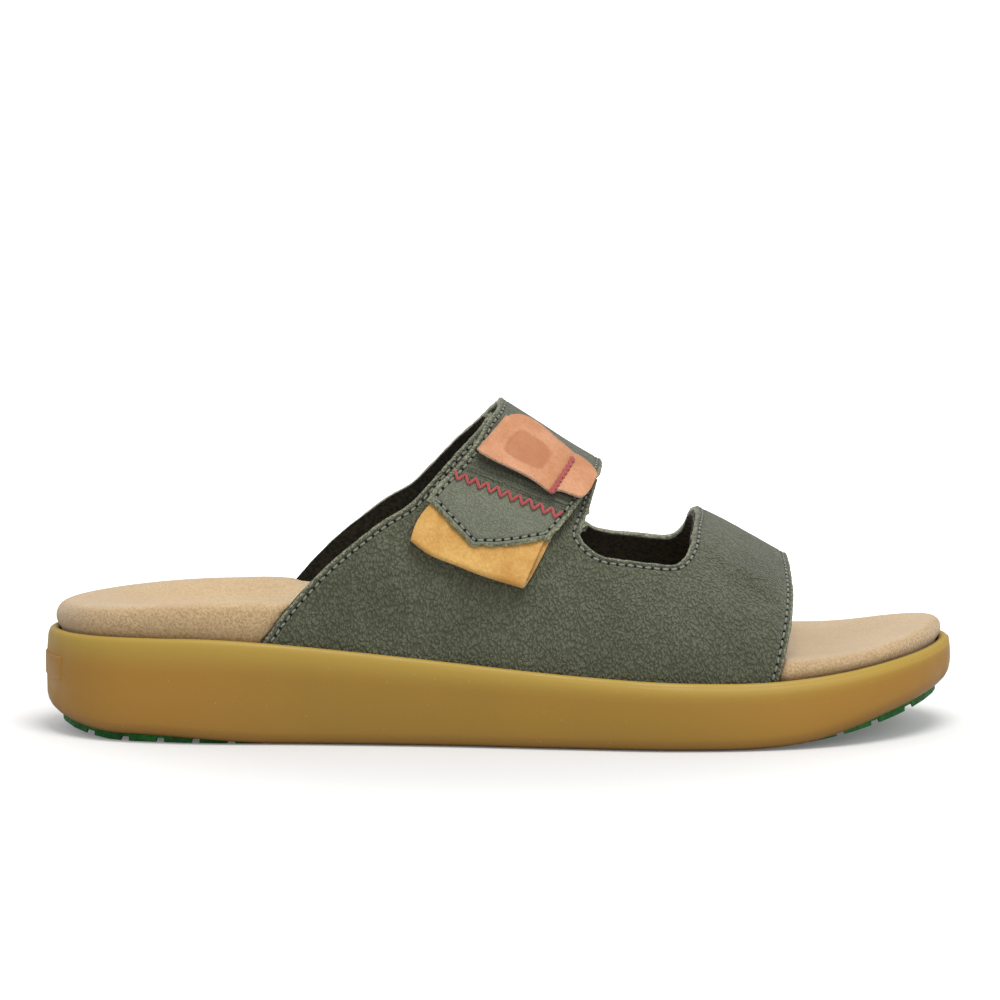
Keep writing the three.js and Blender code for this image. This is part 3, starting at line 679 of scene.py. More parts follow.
TAN = plain_leather("tan_label", (190, 130, 88), (212, 156, 118), (168, 104, 64), 0.16, 0.55)
YELLOW = plain_leather("yellow_nubuck", (200, 148, 76), (226, 182, 108), (168, 116, 52), 0.3, 0.8)
LINING = textile("lining_textile", (22, 20, 13), (48, 45, 32), 900.0, 0.4)
LOOP_TAPE = textile("loop_tape", (26, 25, 20), (66, 63, 52), 650.0, 0.7)
HOOK_TAPE = textile("hook_tape", (20, 19, 16), (52, 50, 42), 520.0, 0.9)
FOAM = textile("footbed_foam", (150, 116, 72), (206, 174, 124), 420.0, 0.3)
# The second colour of each thread is a painted highlight.
RED_THREAD = thread("red_thread", (140, 26, 30), (226, 92, 92))
GREEN_THREAD = thread("edge_thread", (104, 110, 92), (176, 182, 160))
# Painted shade: a dark finish for the pills that stand for the shade in the needle holes.
NEEDLE_HOLE_SHADE = textile("needle_hole_shade", (14, 15, 10), (36, 37, 28), 900.0, 0.05)
print("materials", len(bpy.data.materials))

# %% [markdown]
# The cup and the footbed are lofts. One circle is drawn into the sole's plan at each level and extruded
# to the next, and both ends are drawn together onto a spine along the middle, where they close.

# %% Lofting levels of the sole's outline
SIDES = 400
SPINE_FROM, SPINE_TO = along(0.13), along(0.85)


def outline_ring(phi, inset, height, pull=0.0, recess=None):
    """Points of the outline moved in by inset; height gives z from (x, y), pull draws to the spine."""
    lateral, medial = walls(inset)
    low, high = lateral[:, 0].min(), lateral[:, 0].max()
    x = (low + high) / 2 + np.cos(phi) * (high - low) / 2
    outer, inner = wall_y(lateral, x), wall_y(medial, x)
    ends = (1 - np.abs(np.cos(phi))) > 1e-6
    y = np.where(np.sin(phi) > 0, inner, outer)
    y = np.where(ends, y, (outer + inner) / 2)
    spine_x = np.clip(x, SPINE_FROM, SPINE_TO)
    spine_y = (wall_y(lateral, spine_x) + wall_y(medial, spine_x)) / 2
    x, y = x + (spine_x - x) * pull, y + (spine_y - y) * pull
    if recess is not None:
        y = y - np.sign(y - spine_y) * recess(x, height(x, y))
    return np.stack([x, y, height(x, y)], -1)


def loft(name, levels, body, materials):
    """levels is a list of (function of phi, band value)."""
    bm = bmesh.new()
    phi = bm.verts.layers.float.new("phi")
    band = bm.verts.layers.float.new("band")
    verts = bmesh.ops.create_circle(bm, segments=SIDES, radius=1)["verts"]
    edges = bm.edges[:]
    for vert in verts:
        vert[phi] = math.atan2(vert.co.y, vert.co.x)
    for number, (place, value) in enumerate(levels):
        if number:
            grown = bmesh.ops.extrude_edge_only(bm, edges=edges)["geom"]
            verts = [g for g in grown if isinstance(g, bmesh.types.BMVert)]
            edges = [g for g in grown if isinstance(g, bmesh.types.BMEdge) and g.is_boundary]
        for vert, point in zip(verts, place(np.array([v[phi] for v in verts]))):
            vert.co = point * MM
            vert[band] = value
    bmesh.ops.remove_doubles(bm, verts=bm.verts, dist=0.01 * MM)
    bmesh.ops.recalc_face_normals(bm, faces=bm.faces)
    print(name, "open edges", sum(e.is_boundary for e in bm.edges))
    return finish_piece(name, bm, body, materials)


# %% [markdown]
# The cup's wall leans in a little towards its rounded rim, and its lower edge turns under with a bigger
# radius. Along the middle that edge hangs down as a lip over the tread's side. The cup is hollow: the
# inside wall goes down to the floor on which the footbed lies.

# %% Cup midsole
LIP = 2.3


def from_bottom(rise_mm):
    return lambda x, y: cup_bottom(x) + rise_mm


def from_lip(rise_mm):
    """Heights over the lip that hides the tread's side, except at the heel and the toe."""
    def height(x, y):
        behind, ahead = (x - along(0.1)) / along(0.66), (along(0.94) - x) / along(0.62)
        return cup_bottom(x) - LIP * smooth_step(behind) * smooth_step(ahead) + rise_mm
    return height


def up_wall(share, drop=0.0):
    return lambda x, y: cup_bottom(x) + (rim(x) - cup_bottom(x)) * share - drop


def cup_floor(x, y):
    return cup_bottom(x) + cup_base(x)


CUP_LEVELS = [
    (0, from_bottom(0), 1.0, 0), (0, from_bottom(0), 0.5, 0), (9, from_bottom(0), 0, 0),
    (4.4, from_bottom(0), 0, 0), (4.1, from_lip(0.15), 0, 0), (3.7, from_lip(0), 0, 0.02),
    (3.2, from_lip(0.05), 0, 0.03),
    (2.2, from_lip(0.4), 0, 0.06), (1.2, from_lip(1.1), 0, 0.1), (0.5, from_lip(2.2), 0, 0.16),
    (0.1, from_lip(4.0), 0, 0.24), (0, up_wall(0.42), 0, 0.42),
    (0.05, up_wall(0.6), 0, 0.6), (0.25, up_wall(0.78), 0, 0.78), (0.5, up_wall(0.9), 0, 0.9),
    (0.75, up_wall(1, 1.6), 0, 0.95), (1.0, up_wall(1, 0.9), 0, 0.98), (1.4, up_wall(1, 0.35), 0, 1),
    (1.95, up_wall(1, 0.06), 0, 1), (2.6, up_wall(1, 0), 0, 1), (3.2, up_wall(1, 0.12), 0, 1),
    (3.7, up_wall(1, 0.5), 0, 0.9), (4.0, up_wall(1, 1.2), 0, 0.6), (4.0, up_wall(1, 7), 0, 0.2),
    (4.2, cup_floor, 0, 0), (8, cup_floor, 0, 0), (4.2, cup_floor, 1.0, 0),
]


def level(inset, height, pull, band, recess=None):
    return (lambda phi: outline_ring(phi, inset, height, pull, recess), band)


cup = loft("cup_midsole_rubber", [level(*row) for row in CUP_LEVELS], "sandal", [GUM])
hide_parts("cup_midsole")

# %% A plain raised bar on the heel, moulded with the cup
BAR_LOW, BAR_HIGH, BAR_HALF_WIDTH, BAR_RISE = 17.0, 24.5, 17.0, 0.5
BAR_ROUNDING, BAR_SUNK, BAR_WALL = 0.6, 0.15, 0.8


def heel_bar(u, v):
    y = (u * 2 - 1) * BAR_HALF_WIDTH
    rear = SOLE[SOLE[:, 0] < along(0.2)]
    order = np.argsort(rear[:, 1])
    x = np.interp(y, rear[order, 1], rear[order, 0])
    from_ends, from_long_sides = np.minimum(u, 1 - u), np.minimum(v, 1 - v)
    edge = np.minimum(from_ends * 2 * BAR_HALF_WIDTH, from_long_sides * (BAR_HIGH - BAR_LOW))
    rise = BAR_RISE * np.clip(edge / BAR_ROUNDING, 0, 1) ** 0.5 - BAR_SUNK
    away = np.stack([x - along(0.13), y], -1)
    away /= np.linalg.norm(away, axis=1)[:, None]
    z = BAR_LOW + v * (BAR_HIGH - BAR_LOW)
    return np.stack([x + away[:, 0] * rise, y + away[:, 1] * rise, z], -1)


bm = bmesh.new()
value = bm.verts.layers.float.new("band")
for vert in sheet_of(bm, 80, 24, heel_bar, lambda point: (-1, 0, 0)):
    vert[value] = 0.55
bar = finish_piece("heel_bar", bm, "sandal", [GUM])
solidify(bar, BAR_WALL)

# %% [markdown]
# The footbed stands above the rim as a soft wall with a rounded bead, then dips: a cup for the heel and
# a shallow hollow under the ball. Where the upper goes down into the cup, the wall steps in to let the
# leather lie flush. Only the stations behind the leather are moved, by a smooth step.

# %% Side-view edges of the upper
REAR_EDGE = [
    (0.243, 0.302), (0.271, 0.406), (0.309, 0.521), (0.346, 0.607), (0.375, 0.667),
    (0.401, 0.709), (0.423, 0.769), (0.45, 0.849), (0.48, 0.93), (0.496, 0.99), (0.505, 1.1),
]
NOTCH_EDGE = [
    (0.625, 0.9), (0.6135, 0.788), (0.6055, 0.743), (0.597, 0.687), (0.588, 0.631),
    (0.589, 0.612), (0.5985, 0.584), (0.6145, 0.562), (0.6475, 0.55), (0.6865, 0.539),
    (0.699, 0.553), (0.708, 0.589), (0.713, 0.637), (0.724, 0.69), (0.734, 0.8),
]
FRONT_EDGE = [
    (0.818, 0.6), (0.82, 0.5), (0.82, 0.437), (0.8175, 0.385), (0.8085, 0.272), (0.799, 0.18),
]
rear_edge = spline(side_view(REAR_EDGE), 120)
notch_edge = spline(side_view(NOTCH_EDGE), 240)
front_edge = spline(side_view(FRONT_EDGE), 60)[::-1]
print("front band from", round(front_edge[:, 0].min()), "to", round(front_edge[:, 0].max()), "mm")


# %% Footbed
RECESS = 5.0
STEP = 2.5
BLEND = 1.0
DISH = {"length": 46.0, "width": 25.0, "height": 10.0, "sink": 6.0}


def behind_leather(x, z):
    rear = np.interp(z, rear_edge[:, 1], rear_edge[:, 0])
    front = np.interp(z, front_edge[:, 1], front_edge[:, 0])
    return RECESS * smooth_step((x - rear + 1.5) / STEP) * smooth_step((front + 1.5 - x) / STEP)


def part_of_recess(share):
    return lambda x, z: share * behind_leather(x, z)


def side_height(share):
    return lambda x, y: rim(x) + (bed_top(x) - rim(x)) * share


def foot_hollow(sink):
    def height(x, y):
        top = bed_top(x) - sink
        reach = ((x - along(0.19)) / DISH["length"]) ** 2 + (y / DISH["width"]) ** 2
        round_off = np.sqrt(np.clip(1 - reach, 0, 1))
        bowl = BED_HEEL + DISH["height"] - DISH["sink"] - DISH["height"] * round_off
        gap = (top - bowl) / BLEND
        return top - BLEND * np.log1p(np.exp(np.clip(gap, -30, 30)))
    return height


BED_SIDE = [
    (5.0, -0.9), (4.8, -0.1), (4.0, 0.06), (3.4, 0.2), (3.1, 0.36), (3.1, 0.5), (3.4, 0.65),
    (3.9, 0.77), (4.6, 0.87), (5.5, 0.94), (6.5, 0.985), (7.7, 1.0),
]
BED_SHOULDER = ((9.3, 0.04, 0.95), (11, 0.16, 0.75), (13, 0.3, 0.5))
BED_PULLS = (0.1, 0.2, 0.32, 0.44, 0.56, 0.68, 0.8, 0.9, 1.0)
bed_levels = [level(6, side_height(-0.9), 1.0, 0)]
for inset, share in BED_SIDE:
    # The band carries the suede's painted light and shade: paler on top, darker on the side.
    colour_band = 0.0 if share < 0.85 else min((share - 0.85) / 0.15, 1.0)
    bed_levels.append(level(inset, side_height(share), 0, colour_band, behind_leather))
for inset, sink, share in BED_SHOULDER:
    bed_levels.append(level(inset, foot_hollow(sink), 0, 1, part_of_recess(share)))
for pull in BED_PULLS:
    faded = part_of_recess(max(0.3 - pull, 0))
    bed_levels.append(level(13, foot_hollow(0.3 + 0.6 * min(pull * 2, 1)), pull, 1, faded))
footbed = loft("footbed_suede", bed_levels, "sandal", [SUEDE])
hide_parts("footbed_cover")

# %% [markdown]
# The upper is one hide. On each side a sheet is stretched between four curves: its rear edge, its front
# edge, the hem inside the cup, and a top made of the tongue's end, the notch and the crest of the band.
# A Coons patch blends the four. The two sheets share the crest of the band and are merged there.

# %% Edges climbed over the last
def climb(edge, side, distance, end_y=None):
    """Stations and angles of a side-view edge, from its low end to the crest or to a given y."""
    def reached(point_2d):
        station, turn = lay(point_2d[:1], point_2d[1:], side, distance)
        point = raised(station, turn, distance)[0]
        high = abs(point[2] - point_2d[1]) > 0.03
        return high or (end_y is not None and side * (point[1] - end_y) < 0)

    last = next(i for i, p in enumerate(edge) if reached(p))
    low, high = edge[last - 1], edge[last]
    for _ in range(14):
        middle = (low + high) / 2
        low, high = (low, middle) if reached(middle) else (middle, high)
    kept = np.vstack([edge[:last], low])
    station, turn = lay(kept[:, 0], kept[:, 1], side, distance)
    if end_y is None:
        turn[-1] = math.pi / 2
    return np.stack([station, turn], -1)


def turn_at_y(x, y, side):
    low, high = np.zeros_like(x), np.full_like(x, math.pi / 2)
    for _ in range(30):
        middle = (low + high) / 2
        inside = side * (form_point(x, middle if side > 0 else math.pi - middle)[:, 1] - y) > 0
        low, high = np.where(inside, middle, low), np.where(inside, high, middle)
    return low if side > 0 else math.pi - low


def measured(edge, distance=0.0):
    """An edge with its share of its own length at each point."""
    run = lengths(on_face(edge, distance))
    return run / run[-1], edge


TUCK = 7.0
TONGUE_END_Y = {LATERAL: -4.0, MEDIAL: 14.0}
BREAK_COLUMNS = np.array([0, 60, 90, 102, 142, 152, 166, 200])
BREAKS = cluster(BREAK_COLUMNS / 200, 0.5).tolist()
HEM = [None, -60, -36, -22, 52, 64, 73, None]
NOTCH_SHARES = [0, 0.22, 0.34, 0.70, 0.80, 1]


def side_edges(side):
    end_y = TONGUE_END_Y[side]
    rear = climb(rear_edge, side, 0.0, end_y)
    front = climb(front_edge, side, 0.0)
    bottom = notch_edge[:, 1].argmin()
    back_wall = climb(notch_edge[bottom::-1], side, 0.0, end_y)[::-1]
    band_wall = climb(notch_edge[bottom:], side, 0.0)
    notch = np.vstack([back_wall[:-1], band_wall])
    x = np.linspace(rear[-1, 0], notch[0, 0], 40)
    tongue = np.stack([x, turn_at_y(x, end_y, side)], -1)
    x = np.linspace(notch[-1, 0], front[-1, 0], 40)
    band = np.stack([x, np.full_like(x, math.pi / 2)], -1)
    return {"rear": rear, "front": front, "notch": notch, "tongue": tongue, "band": band}


def hem_turn(x, side):
    deep = np.full_like(x, -TUCK / DEPTH_PER_RADIAN)
    return deep if side > 0 else math.pi - deep


EDGES = {side: side_edges(side) for side in (LATERAL, MEDIAL)}
for side in EDGES:
    print("tongue end from x", EDGES[side]["tongue"][[0, -1], 0].round(1).tolist())


# %% The Coons patch of one side
def upper_patch(side, u, v):
    edges = EDGES[side]
    u, v = cluster(u, 0.5), cluster(v, 0.6)

    def rise_along(edge, share):
        foot = np.array([[edge[0, 0], hem_turn(edge[:1, 0], side)[0]]])
        return at(share, *measured(np.vstack([foot, edge])))

    def top(share):
        out = at(np.interp(share, BREAKS[:2], (0, 1)), *measured(edges["tongue"]))
        notch = at(np.interp(share, BREAKS[1:7], NOTCH_SHARES), *measured(edges["notch"]))
        band = at(np.interp(share, BREAKS[6:], (0, 1)), *measured(edges["band"]))
        out = np.where((share > BREAKS[1])[:, None], notch, out)
        return np.where((share > BREAKS[6])[:, None], band, out)

    def bottom(share):
        stations = [edges["rear"][0, 0], *HEM[1:-1], edges["front"][0, 0]]
        x = np.interp(share, BREAKS, stations)
        return np.stack([x, hem_turn(x, side)], -1)

    U, V = u[:, None], v[:, None]
    ends = np.array([0.0, 1.0])
    low, high = bottom(ends), top(ends)
    corners = ((1 - U) * (1 - V) * low[0] + U * (1 - V) * low[1]
               + (1 - U) * V * high[0] + U * V * high[1])
    sides = (1 - U) * rise_along(edges["rear"], v) + U * rise_along(edges["front"], v)
    return (1 - V) * bottom(u) + V * top(u) + sides - corners


# %% [markdown]
# Leather is never smooth. Each point of the hide is moved a little off the last: down at a cut edge and
# in the stitched groove beside it, up along the fold over the toes, and gently everywhere. The wander
# of the raw edges comes from a fixed seed, so that each run gives the same edges.

# %% Relief of the hide
RAGGED_SEED = 1
noise.seed_set(RAGGED_SEED)


def edge_tree(*paths):
    points = np.vstack([resample(path, 0.3) for path in paths])
    tree = kdtree.KDTree(len(points))
    for i, point in enumerate(points):
        tree.insert(point, i)
    tree.balance()
    return tree


def edge_distance(tree, points):
    return np.array([tree.find(p)[2] for p in points])


def waves(points, size, seed=0.0):
    return np.array([noise.noise(Vector(p) / size + Vector((seed, seed, seed))) for p in points])


def ragged(points, distance, amount=0.16):
    """Sideways wander of the last millimetre before a cut edge."""
    def wander(p):
        return noise.noise_vector(Vector(p) / 0.9) + noise.noise_vector(Vector(p) / 2.7)

    near = np.exp(-distance / 0.7) * amount
    return points + np.array([wander(p) for p in points]) * near[:, None]


def segment_distance(points, start, end):
    start, end = np.array(start, float), np.array(end, float)
    run = end - start
    t = np.clip(((points - start) @ run) / (run @ run), 0, 1)
    return np.linalg.norm(points - start - t[:, None] * run, axis=1), t


def edge_relief(distance):
    rounding = -0.45 * np.exp(-((distance / 0.55) ** 2))
    groove = -0.4 * np.exp(-(((distance - STITCH_INSET) / 0.6) ** 2))
    swell = 0.22 * np.exp(-(((distance - 1.0) / 0.5) ** 2))
    return rounding + groove + swell


SIDE_CREASES = (((-46, 47), (-24, 40), 0.4), ((-42, 54), (-26, 49), 0.35), ((-50, 42), (-22, 33), 0.3))


def hide_ground(points):
    """Everything but the edges: slow waves, the fold over the toes and creases beside the pull tab."""
    relief = 0.5 * waves(points, 24) + 0.2 * waves(points, 7, 3.0) + 0.06 * waves(points, 2.4, 5.0)
    seen = points[:, [0, 2]]
    fold, t = segment_distance(seen, (62, 61), (88, 45))
    relief += 0.9 * np.exp(-((fold / 2.2) ** 2)) * np.sin(math.pi * np.clip(t, 0.05, 1)) ** 0.5
    valley, t = segment_distance(seen, (60, 56), (87, 41))
    relief -= 0.5 * np.exp(-((valley / 2.5) ** 2)) * np.sin(math.pi * t)
    for start, end, depth in SIDE_CREASES:
        crease, t = segment_distance(seen, start, end)
        relief -= depth * np.exp(-((crease / 0.9) ** 2)) * np.sin(math.pi * t)
    return relief


# %% Upper and lining
def keep_edge_distance(bm, made, apart):
    """Stores the distance to a cut edge on the mesh, for the leather's finish."""
    value = bm.verts.layers.float["edge_mm"]
    for vert, distance in zip(made, apart):
        vert[value] = float(min(distance, 20.0))


def upper_sheet(name, distance, thickness, relief, materials, across, down):
    bm = bmesh.new()
    bm.verts.layers.float.new("edge_mm")
    for side in (LATERAL, MEDIAL):
        edges = EDGES[side]
        tree = edge_tree(*(on_face(edges[k]) for k in ("rear", "front", "notch", "tongue")))
        found = []

        def place(u, v):
            where = upper_patch(side, u, v)
            face = on_face(where)
            found.append(edge_distance(tree, face))
            lift = distance + (relief(face) + edge_relief(found[0]) if relief else 0)
            return ragged(on_face(where, lift), found[0])

        made = sheet_of(bm, across, down, place, from_last)
        keep_edge_distance(bm, made, found[0])
    bmesh.ops.remove_doubles(bm, verts=bm.verts, dist=0.05 * MM)
    piece = finish_piece(name, bm, "sandal", materials)
    solidify(piece, thickness, 1)
    return piece


HIDE_THICKNESS = 1.8
LINING_DEPTH, LINING_THICKNESS = -2.15, 0.9
upper_skins = [LEATHER_UPPER, EDGE_GREEN]
upper = upper_sheet("upper_hide", 0.0, HIDE_THICKNESS, hide_ground, upper_skins, 200, 84)
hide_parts("upper_leather")
lining = upper_sheet(
    "upper_lining_cloth", LINING_DEPTH, LINING_THICKNESS, None, [LINING, LINING], 100, 44)
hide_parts("upper_lining")

# %% [markdown]
# The strap crosses the crest. It is ruled between its two edges, from its seam on the inner side to the
# zigzag seam on the outer side, and it bends between the sandal and the strap's own body at the crest.
# It lies close to the hide on the inner side and rises over the hook and loop tapes on the outer side.

# %% Strap curves and heights
STRAP_REAR_EDGE = [
    (0.4225, 0.731), (0.4315, 0.768), (0.4535, 0.825), (0.4725, 0.885), (0.487, 0.948),
    (0.501, 1), (0.51, 1.15),
]
STRAP_FRONT_EDGE = [
    (0.553, 0.618), (0.571, 0.665), (0.59, 0.725), (0.6045, 0.772), (0.6145, 0.804), (0.64, 1),
]
SEAM_REAR, SEAM_FRONT = side_view([(0.4505, 0.803), (0.567, 0.682)])
seam_run = (SEAM_FRONT - SEAM_REAR) / np.linalg.norm(SEAM_FRONT - SEAM_REAR)
SEAM_DOWN = np.array([seam_run[1], -seam_run[0]])
strap_rear = spline(side_view(STRAP_REAR_EDGE), 90)
strap_front = spline(side_view(STRAP_FRONT_EDGE), 90)
JOINTS = {joint["name"]: joint for joint in frame["joints"]}


def strap_lift(height):
    """Close to the hide on the inner side, over the tapes on the outer side."""
    return lambda turn: height - 2.0 * (1 - smooth_step((turn / math.pi - 0.25) / 0.21))


def below_seam(points_2d):
    return (points_2d - SEAM_REAR) @ SEAM_DOWN


def over_crest(edge, distance, end):
    """From the low end on the inner side, over the crest, down to end mm below the zigzag seam."""
    rise_up = climb(edge, MEDIAL, distance)
    run_down = climb(edge, LATERAL, distance)[::-1]
    seen = on_face(run_down, distance)[:, [0, 2]]
    return np.vstack([rise_up[:-1], run_down[below_seam(seen) < end]])


SEAM_OVERLAP = 0.4
OUTER_FACE = strap_lift(STRAP_OUTER)
STRAP_EDGES = [over_crest(edge, OUTER_FACE, SEAM_OVERLAP) for edge in (strap_rear, strap_front)]
STRAP_THICKNESS = 1.65
print("strap edges", [round(lengths(on_face(e, OUTER_FACE))[-1], 1) for e in STRAP_EDGES], "mm")


# %% Strap
def bent_place(points):
    """1 beside the zigzag seam, where the leather bends each time the strap is opened, and 0 elsewhere."""
    above = -below_seam(points[:, [0, 2]])
    return smooth_step((above - 0.6) / 1.0) * smooth_step((15 - above) / 7) * (points[:, 1] < 0)


def strap_ground(points):
    above = -below_seam(points[:, [0, 2]]) + 1.1 * waves(points, 10, 2.0)
    folds = np.sin(2 * math.pi * above / 2.3) * (0.75 + 0.7 * waves(points, 7, 8.0))
    return 0.3 * folds * bent_place(points) + 0.22 * waves(points, 11, 4.0)


def strap_place(u, v):
    u, v = cluster(u, 0.6), cluster(v, 0.3)
    rear, front = (at(v, *measured(edge, OUTER_FACE)) for edge in STRAP_EDGES)
    where = rear + (front - rear) * u[:, None]
    station, turn = where[:, 0], where[:, 1]
    face = raised(station, turn, OUTER_FACE)
    apart = edge_distance(strap_tree, face)
    strap_apart.append(apart)
    lift = OUTER_FACE(turn) + strap_ground(face) + edge_relief(apart)
    return ragged(raised(station, turn, lift), apart)


strap_apart = []
ends = [on_face(e, OUTER_FACE) for e in STRAP_EDGES]
low_end = np.linspace(ends[0][0], ends[1][0], 60)
strap_tree = edge_tree(*ends, low_end)
bm = bmesh.new()
bm.verts.layers.float.new("edge_mm")
bent = bm.verts.layers.float.new("bent")
made = sheet_of(bm, 56, 260, strap_place, from_last)
keep_edge_distance(bm, made, strap_apart[0])
for vert, share in zip(made, bent_place(np.array([v.co for v in made]) / MM)):
    vert[bent] = float(share)
strap = finish_piece("strap_leather", bm, None, [LEATHER_STRAP, EDGE_GREEN])
solidify(strap, STRAP_THICKNESS, 1)
CREST_START, CREST_END = (0.0161, 0.010, 0.0933), (0.0161, -0.008, 0.0933)
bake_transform(strap, "sandal", "strap", start=CREST_START, end=CREST_END)
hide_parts("strap_base", "strap_flap")


# %% [markdown]
# The pointed tip is a patch of smoother leather. Seen from the side its outline has four sides, so a
# Coons patch is drawn in that view and laid on the last. It bends just below the zigzag seam, where the
# hand peels it.

# %% Tip
TIP_FACE, TIP_THICKNESS = 3.85, 1.55
TIP_BEND_ABOVE, TIP_BEND_BELOW = 0.0016, 0.0022
TIP_POINT = side_view([(0.4715, 0.591)])[0]


def below_only(edge, start):
    kept = edge[below_seam(edge) > start]
    beyond = edge[len(kept)]
    first, second = below_seam(kept[-1:])[0], below_seam(beyond[None])[0]
    share = (first - start) / (first - second)
    return np.vstack([kept, kept[-1] + (beyond - kept[-1]) * share])


tip_rear, tip_front = below_only(strap_rear, -0.3), below_only(strap_front, -0.3)
bend = [tip_rear[0] + (TIP_POINT - tip_rear[0]) * s for s in (0, 0.3, 0.6, 0.88, 0.96)]
bend += [TIP_POINT + (tip_front[0] - TIP_POINT) * s + (0, 0.25) for s in (0.03, 0.1)]
bend += [TIP_POINT + (tip_front[0] - TIP_POINT) * s - (0, 0.5 * math.sin(math.pi * s)) for s in (0.3, 0.6, 1)]
tip_bottom = resample(np.array(bend), 0.4)


def flat_share(edge):
    run = lengths(edge)
    return run / run[-1], edge


def flat_patch(left, right, bottom, top, u, v):
    U, V = u[:, None], v[:, None]
    corners = ((1 - U) * (1 - V) * bottom[0] + U * (1 - V) * bottom[-1]
               + (1 - U) * V * top[0] + U * V * top[-1])
    sides = (1 - U) * at(v, *flat_share(left)) + U * at(v, *flat_share(right))
    return (1 - V) * at(u, *flat_share(bottom)) + V * at(u, *flat_share(top)) + sides - corners


def laid(points_2d, distance):
    station, turn = lay(points_2d[:, 0], points_2d[:, 1], LATERAL, distance)
    return np.stack([station, turn], -1)


def tip_ground(points):
    return 0.28 * waves(points, 10, 6.0)


def tip_place(u, v):
    top = np.linspace(tip_rear[-1], tip_front[-1], 20)
    seen = flat_patch(tip_rear, tip_front, tip_bottom, top, cluster(u, 0.5), cluster(v, 0.5))
    where = laid(seen, TIP_FACE)
    face = on_face(where, TIP_FACE)
    apart = edge_distance(tip_tree, face)
    tip_apart.append(apart)
    lift = TIP_FACE + edge_relief(apart) + tip_ground(face)
    return ragged(on_face(where, lift), apart, 0.28)


tip_path = laid(np.vstack([tip_rear[::-1], tip_bottom[1:], tip_front[1:]]), TIP_FACE)
tip_tree = edge_tree(on_face(tip_path, TIP_FACE))
tip_apart = []
bm = bmesh.new()
bm.verts.layers.float.new("edge_mm")
made = sheet_of(bm, 72, 54, tip_place, from_last)
keep_edge_distance(bm, made, tip_apart[0])
tip = finish_piece("strap_tip_patch", bm, None, [LEATHER_TIP, EDGE_GREEN])
solidify(tip, TIP_THICKNESS, 1)
down = Vector((SEAM_DOWN[0], 0, SEAM_DOWN[1]))
fold_point = Vector(JOINTS["tip_peel"]["pos_m"])
FOLD_START, FOLD_END = fold_point - down * TIP_BEND_ABOVE, fold_point + down * TIP_BEND_BELOW
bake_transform(tip, "strap", "tip", start=FOLD_START, end=FOLD_END)
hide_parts("strap_tip")

# %% [markdown]
# The pull tab and the label are strips folded double. One sheet goes in along the lower layer, round
# the fold and back along the upper one, and Solidify gives it the leather's thickness, so that the two
# layers and the fold show at the open ends.


# %% A folded strip
def folded(t, inner, outer, radius_run):
    """Distance of a layer from the last: t goes from -1, the lower layer's end, over the fold, to 1."""
    share = np.clip(np.abs(t) * radius_run, 0, 1)
    round_off = np.sqrt(1 - (1 - share) ** 2)
    middle, half = (inner + outer) / 2, (outer - inner) / 2
    return middle + np.sign(t) * half * round_off


# %% Pull tab
TAB_FOLD = spline(side_view([
    (0.4046, 0.614), (0.4249, 0.574), (0.451, 0.5455), (0.4836, 0.512), (0.5255, 0.479)]), 40)
TAB_TOP = side_view([(0.4275, 0.722), (0.4735, 0.6225), (0.5515, 0.6285)])
TAB_LAYER = 0.95


def tab_place(u, v):
    t = cluster(v, 0.3) * 2 - 1
    t = np.sign(t) * np.abs(t) ** 1.6
    run = np.abs(t)[:, None]
    across = cluster(u, 0.4)
    fold, top = at(across, *flat_share(TAB_FOLD)), at(across, *flat_share(TAB_TOP))
    bulge = np.sin(math.pi * run) * (1 - across)[:, None] * np.array([-1.2, 0.0])
    lower_layer = (np.clip((u - 0.7) / 0.3, 0, 1) * (t < 0))[:, None] * np.abs(t)[:, None] ** 0.3
    seen = fold + (top - fold) * run + bulge + lower_layer * np.array([2.4, 0.9])
    inner = 1.3 - 0.45 * np.abs(t)
    outer = 4.3 - 2.5 * np.abs(t) ** 0.7
    distance = folded(t, inner, outer, 9.0)
    distance = distance + 0.25 * np.sin(across * 5.0 + 0.5) * (1 - np.abs(t))
    where = laid(seen, distance)
    point = on_face(where, distance)
    return point + form_normal(where[:, 0], where[:, 1]) * (0.12 * waves(point, 6, 1.0))[:, None]


bm = bmesh.new()
sheet_of(bm, 48, 44, tab_place, from_last, outer_from=0.8)
tab = finish_piece("pull_tab_leather", bm, "tip", [YELLOW, EDGE_YELLOW])
solidify(tab, TAB_LAYER, 1, 0.0)
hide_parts("pull_tab")

# %% Label
LABEL_WAIST = 0.72
LABEL_UPPER = [side_view(part) for part in (
    [(0.508, 0.957), (0.526, 0.951), (0.548, 0.914), (0.5805, 0.8415)],
    [(0.5805, 0.8415), (0.5927, 0.822), (0.603, 0.798), (0.606, 0.783)])]
LABEL_LOWER = [side_view(part) for part in (
    [(0.477, 0.871), (0.4918, 0.848), (0.5324, 0.794), (0.5545, 0.750)],
    [(0.5545, 0.750), (0.566, 0.753), (0.5885, 0.733), (0.5985, 0.752)])]
LABEL_LAYER = 1.05
LABEL_BEND = 0.003


def label_side(parts, t):
    rear, front = (spline(part, 24) for part in parts)
    back = at(np.interp(t, (0, LABEL_WAIST), (0, 1)), *flat_share(rear))
    ahead = at(np.interp(t, (LABEL_WAIST, 1), (0, 1)), *flat_share(front))
    return np.where((t > LABEL_WAIST)[:, None], ahead, back)


def pressed_mark(along_strip, across):
    """A plain rounded field pressed into the middle of the label."""
    corner = np.maximum(np.abs(along_strip - 0.36) / 0.2, 0) ** 4 + (np.abs(across - 0.5) / 0.3) ** 4
    return smooth_step((1.15 - corner) / 0.3)


label_pressed = []


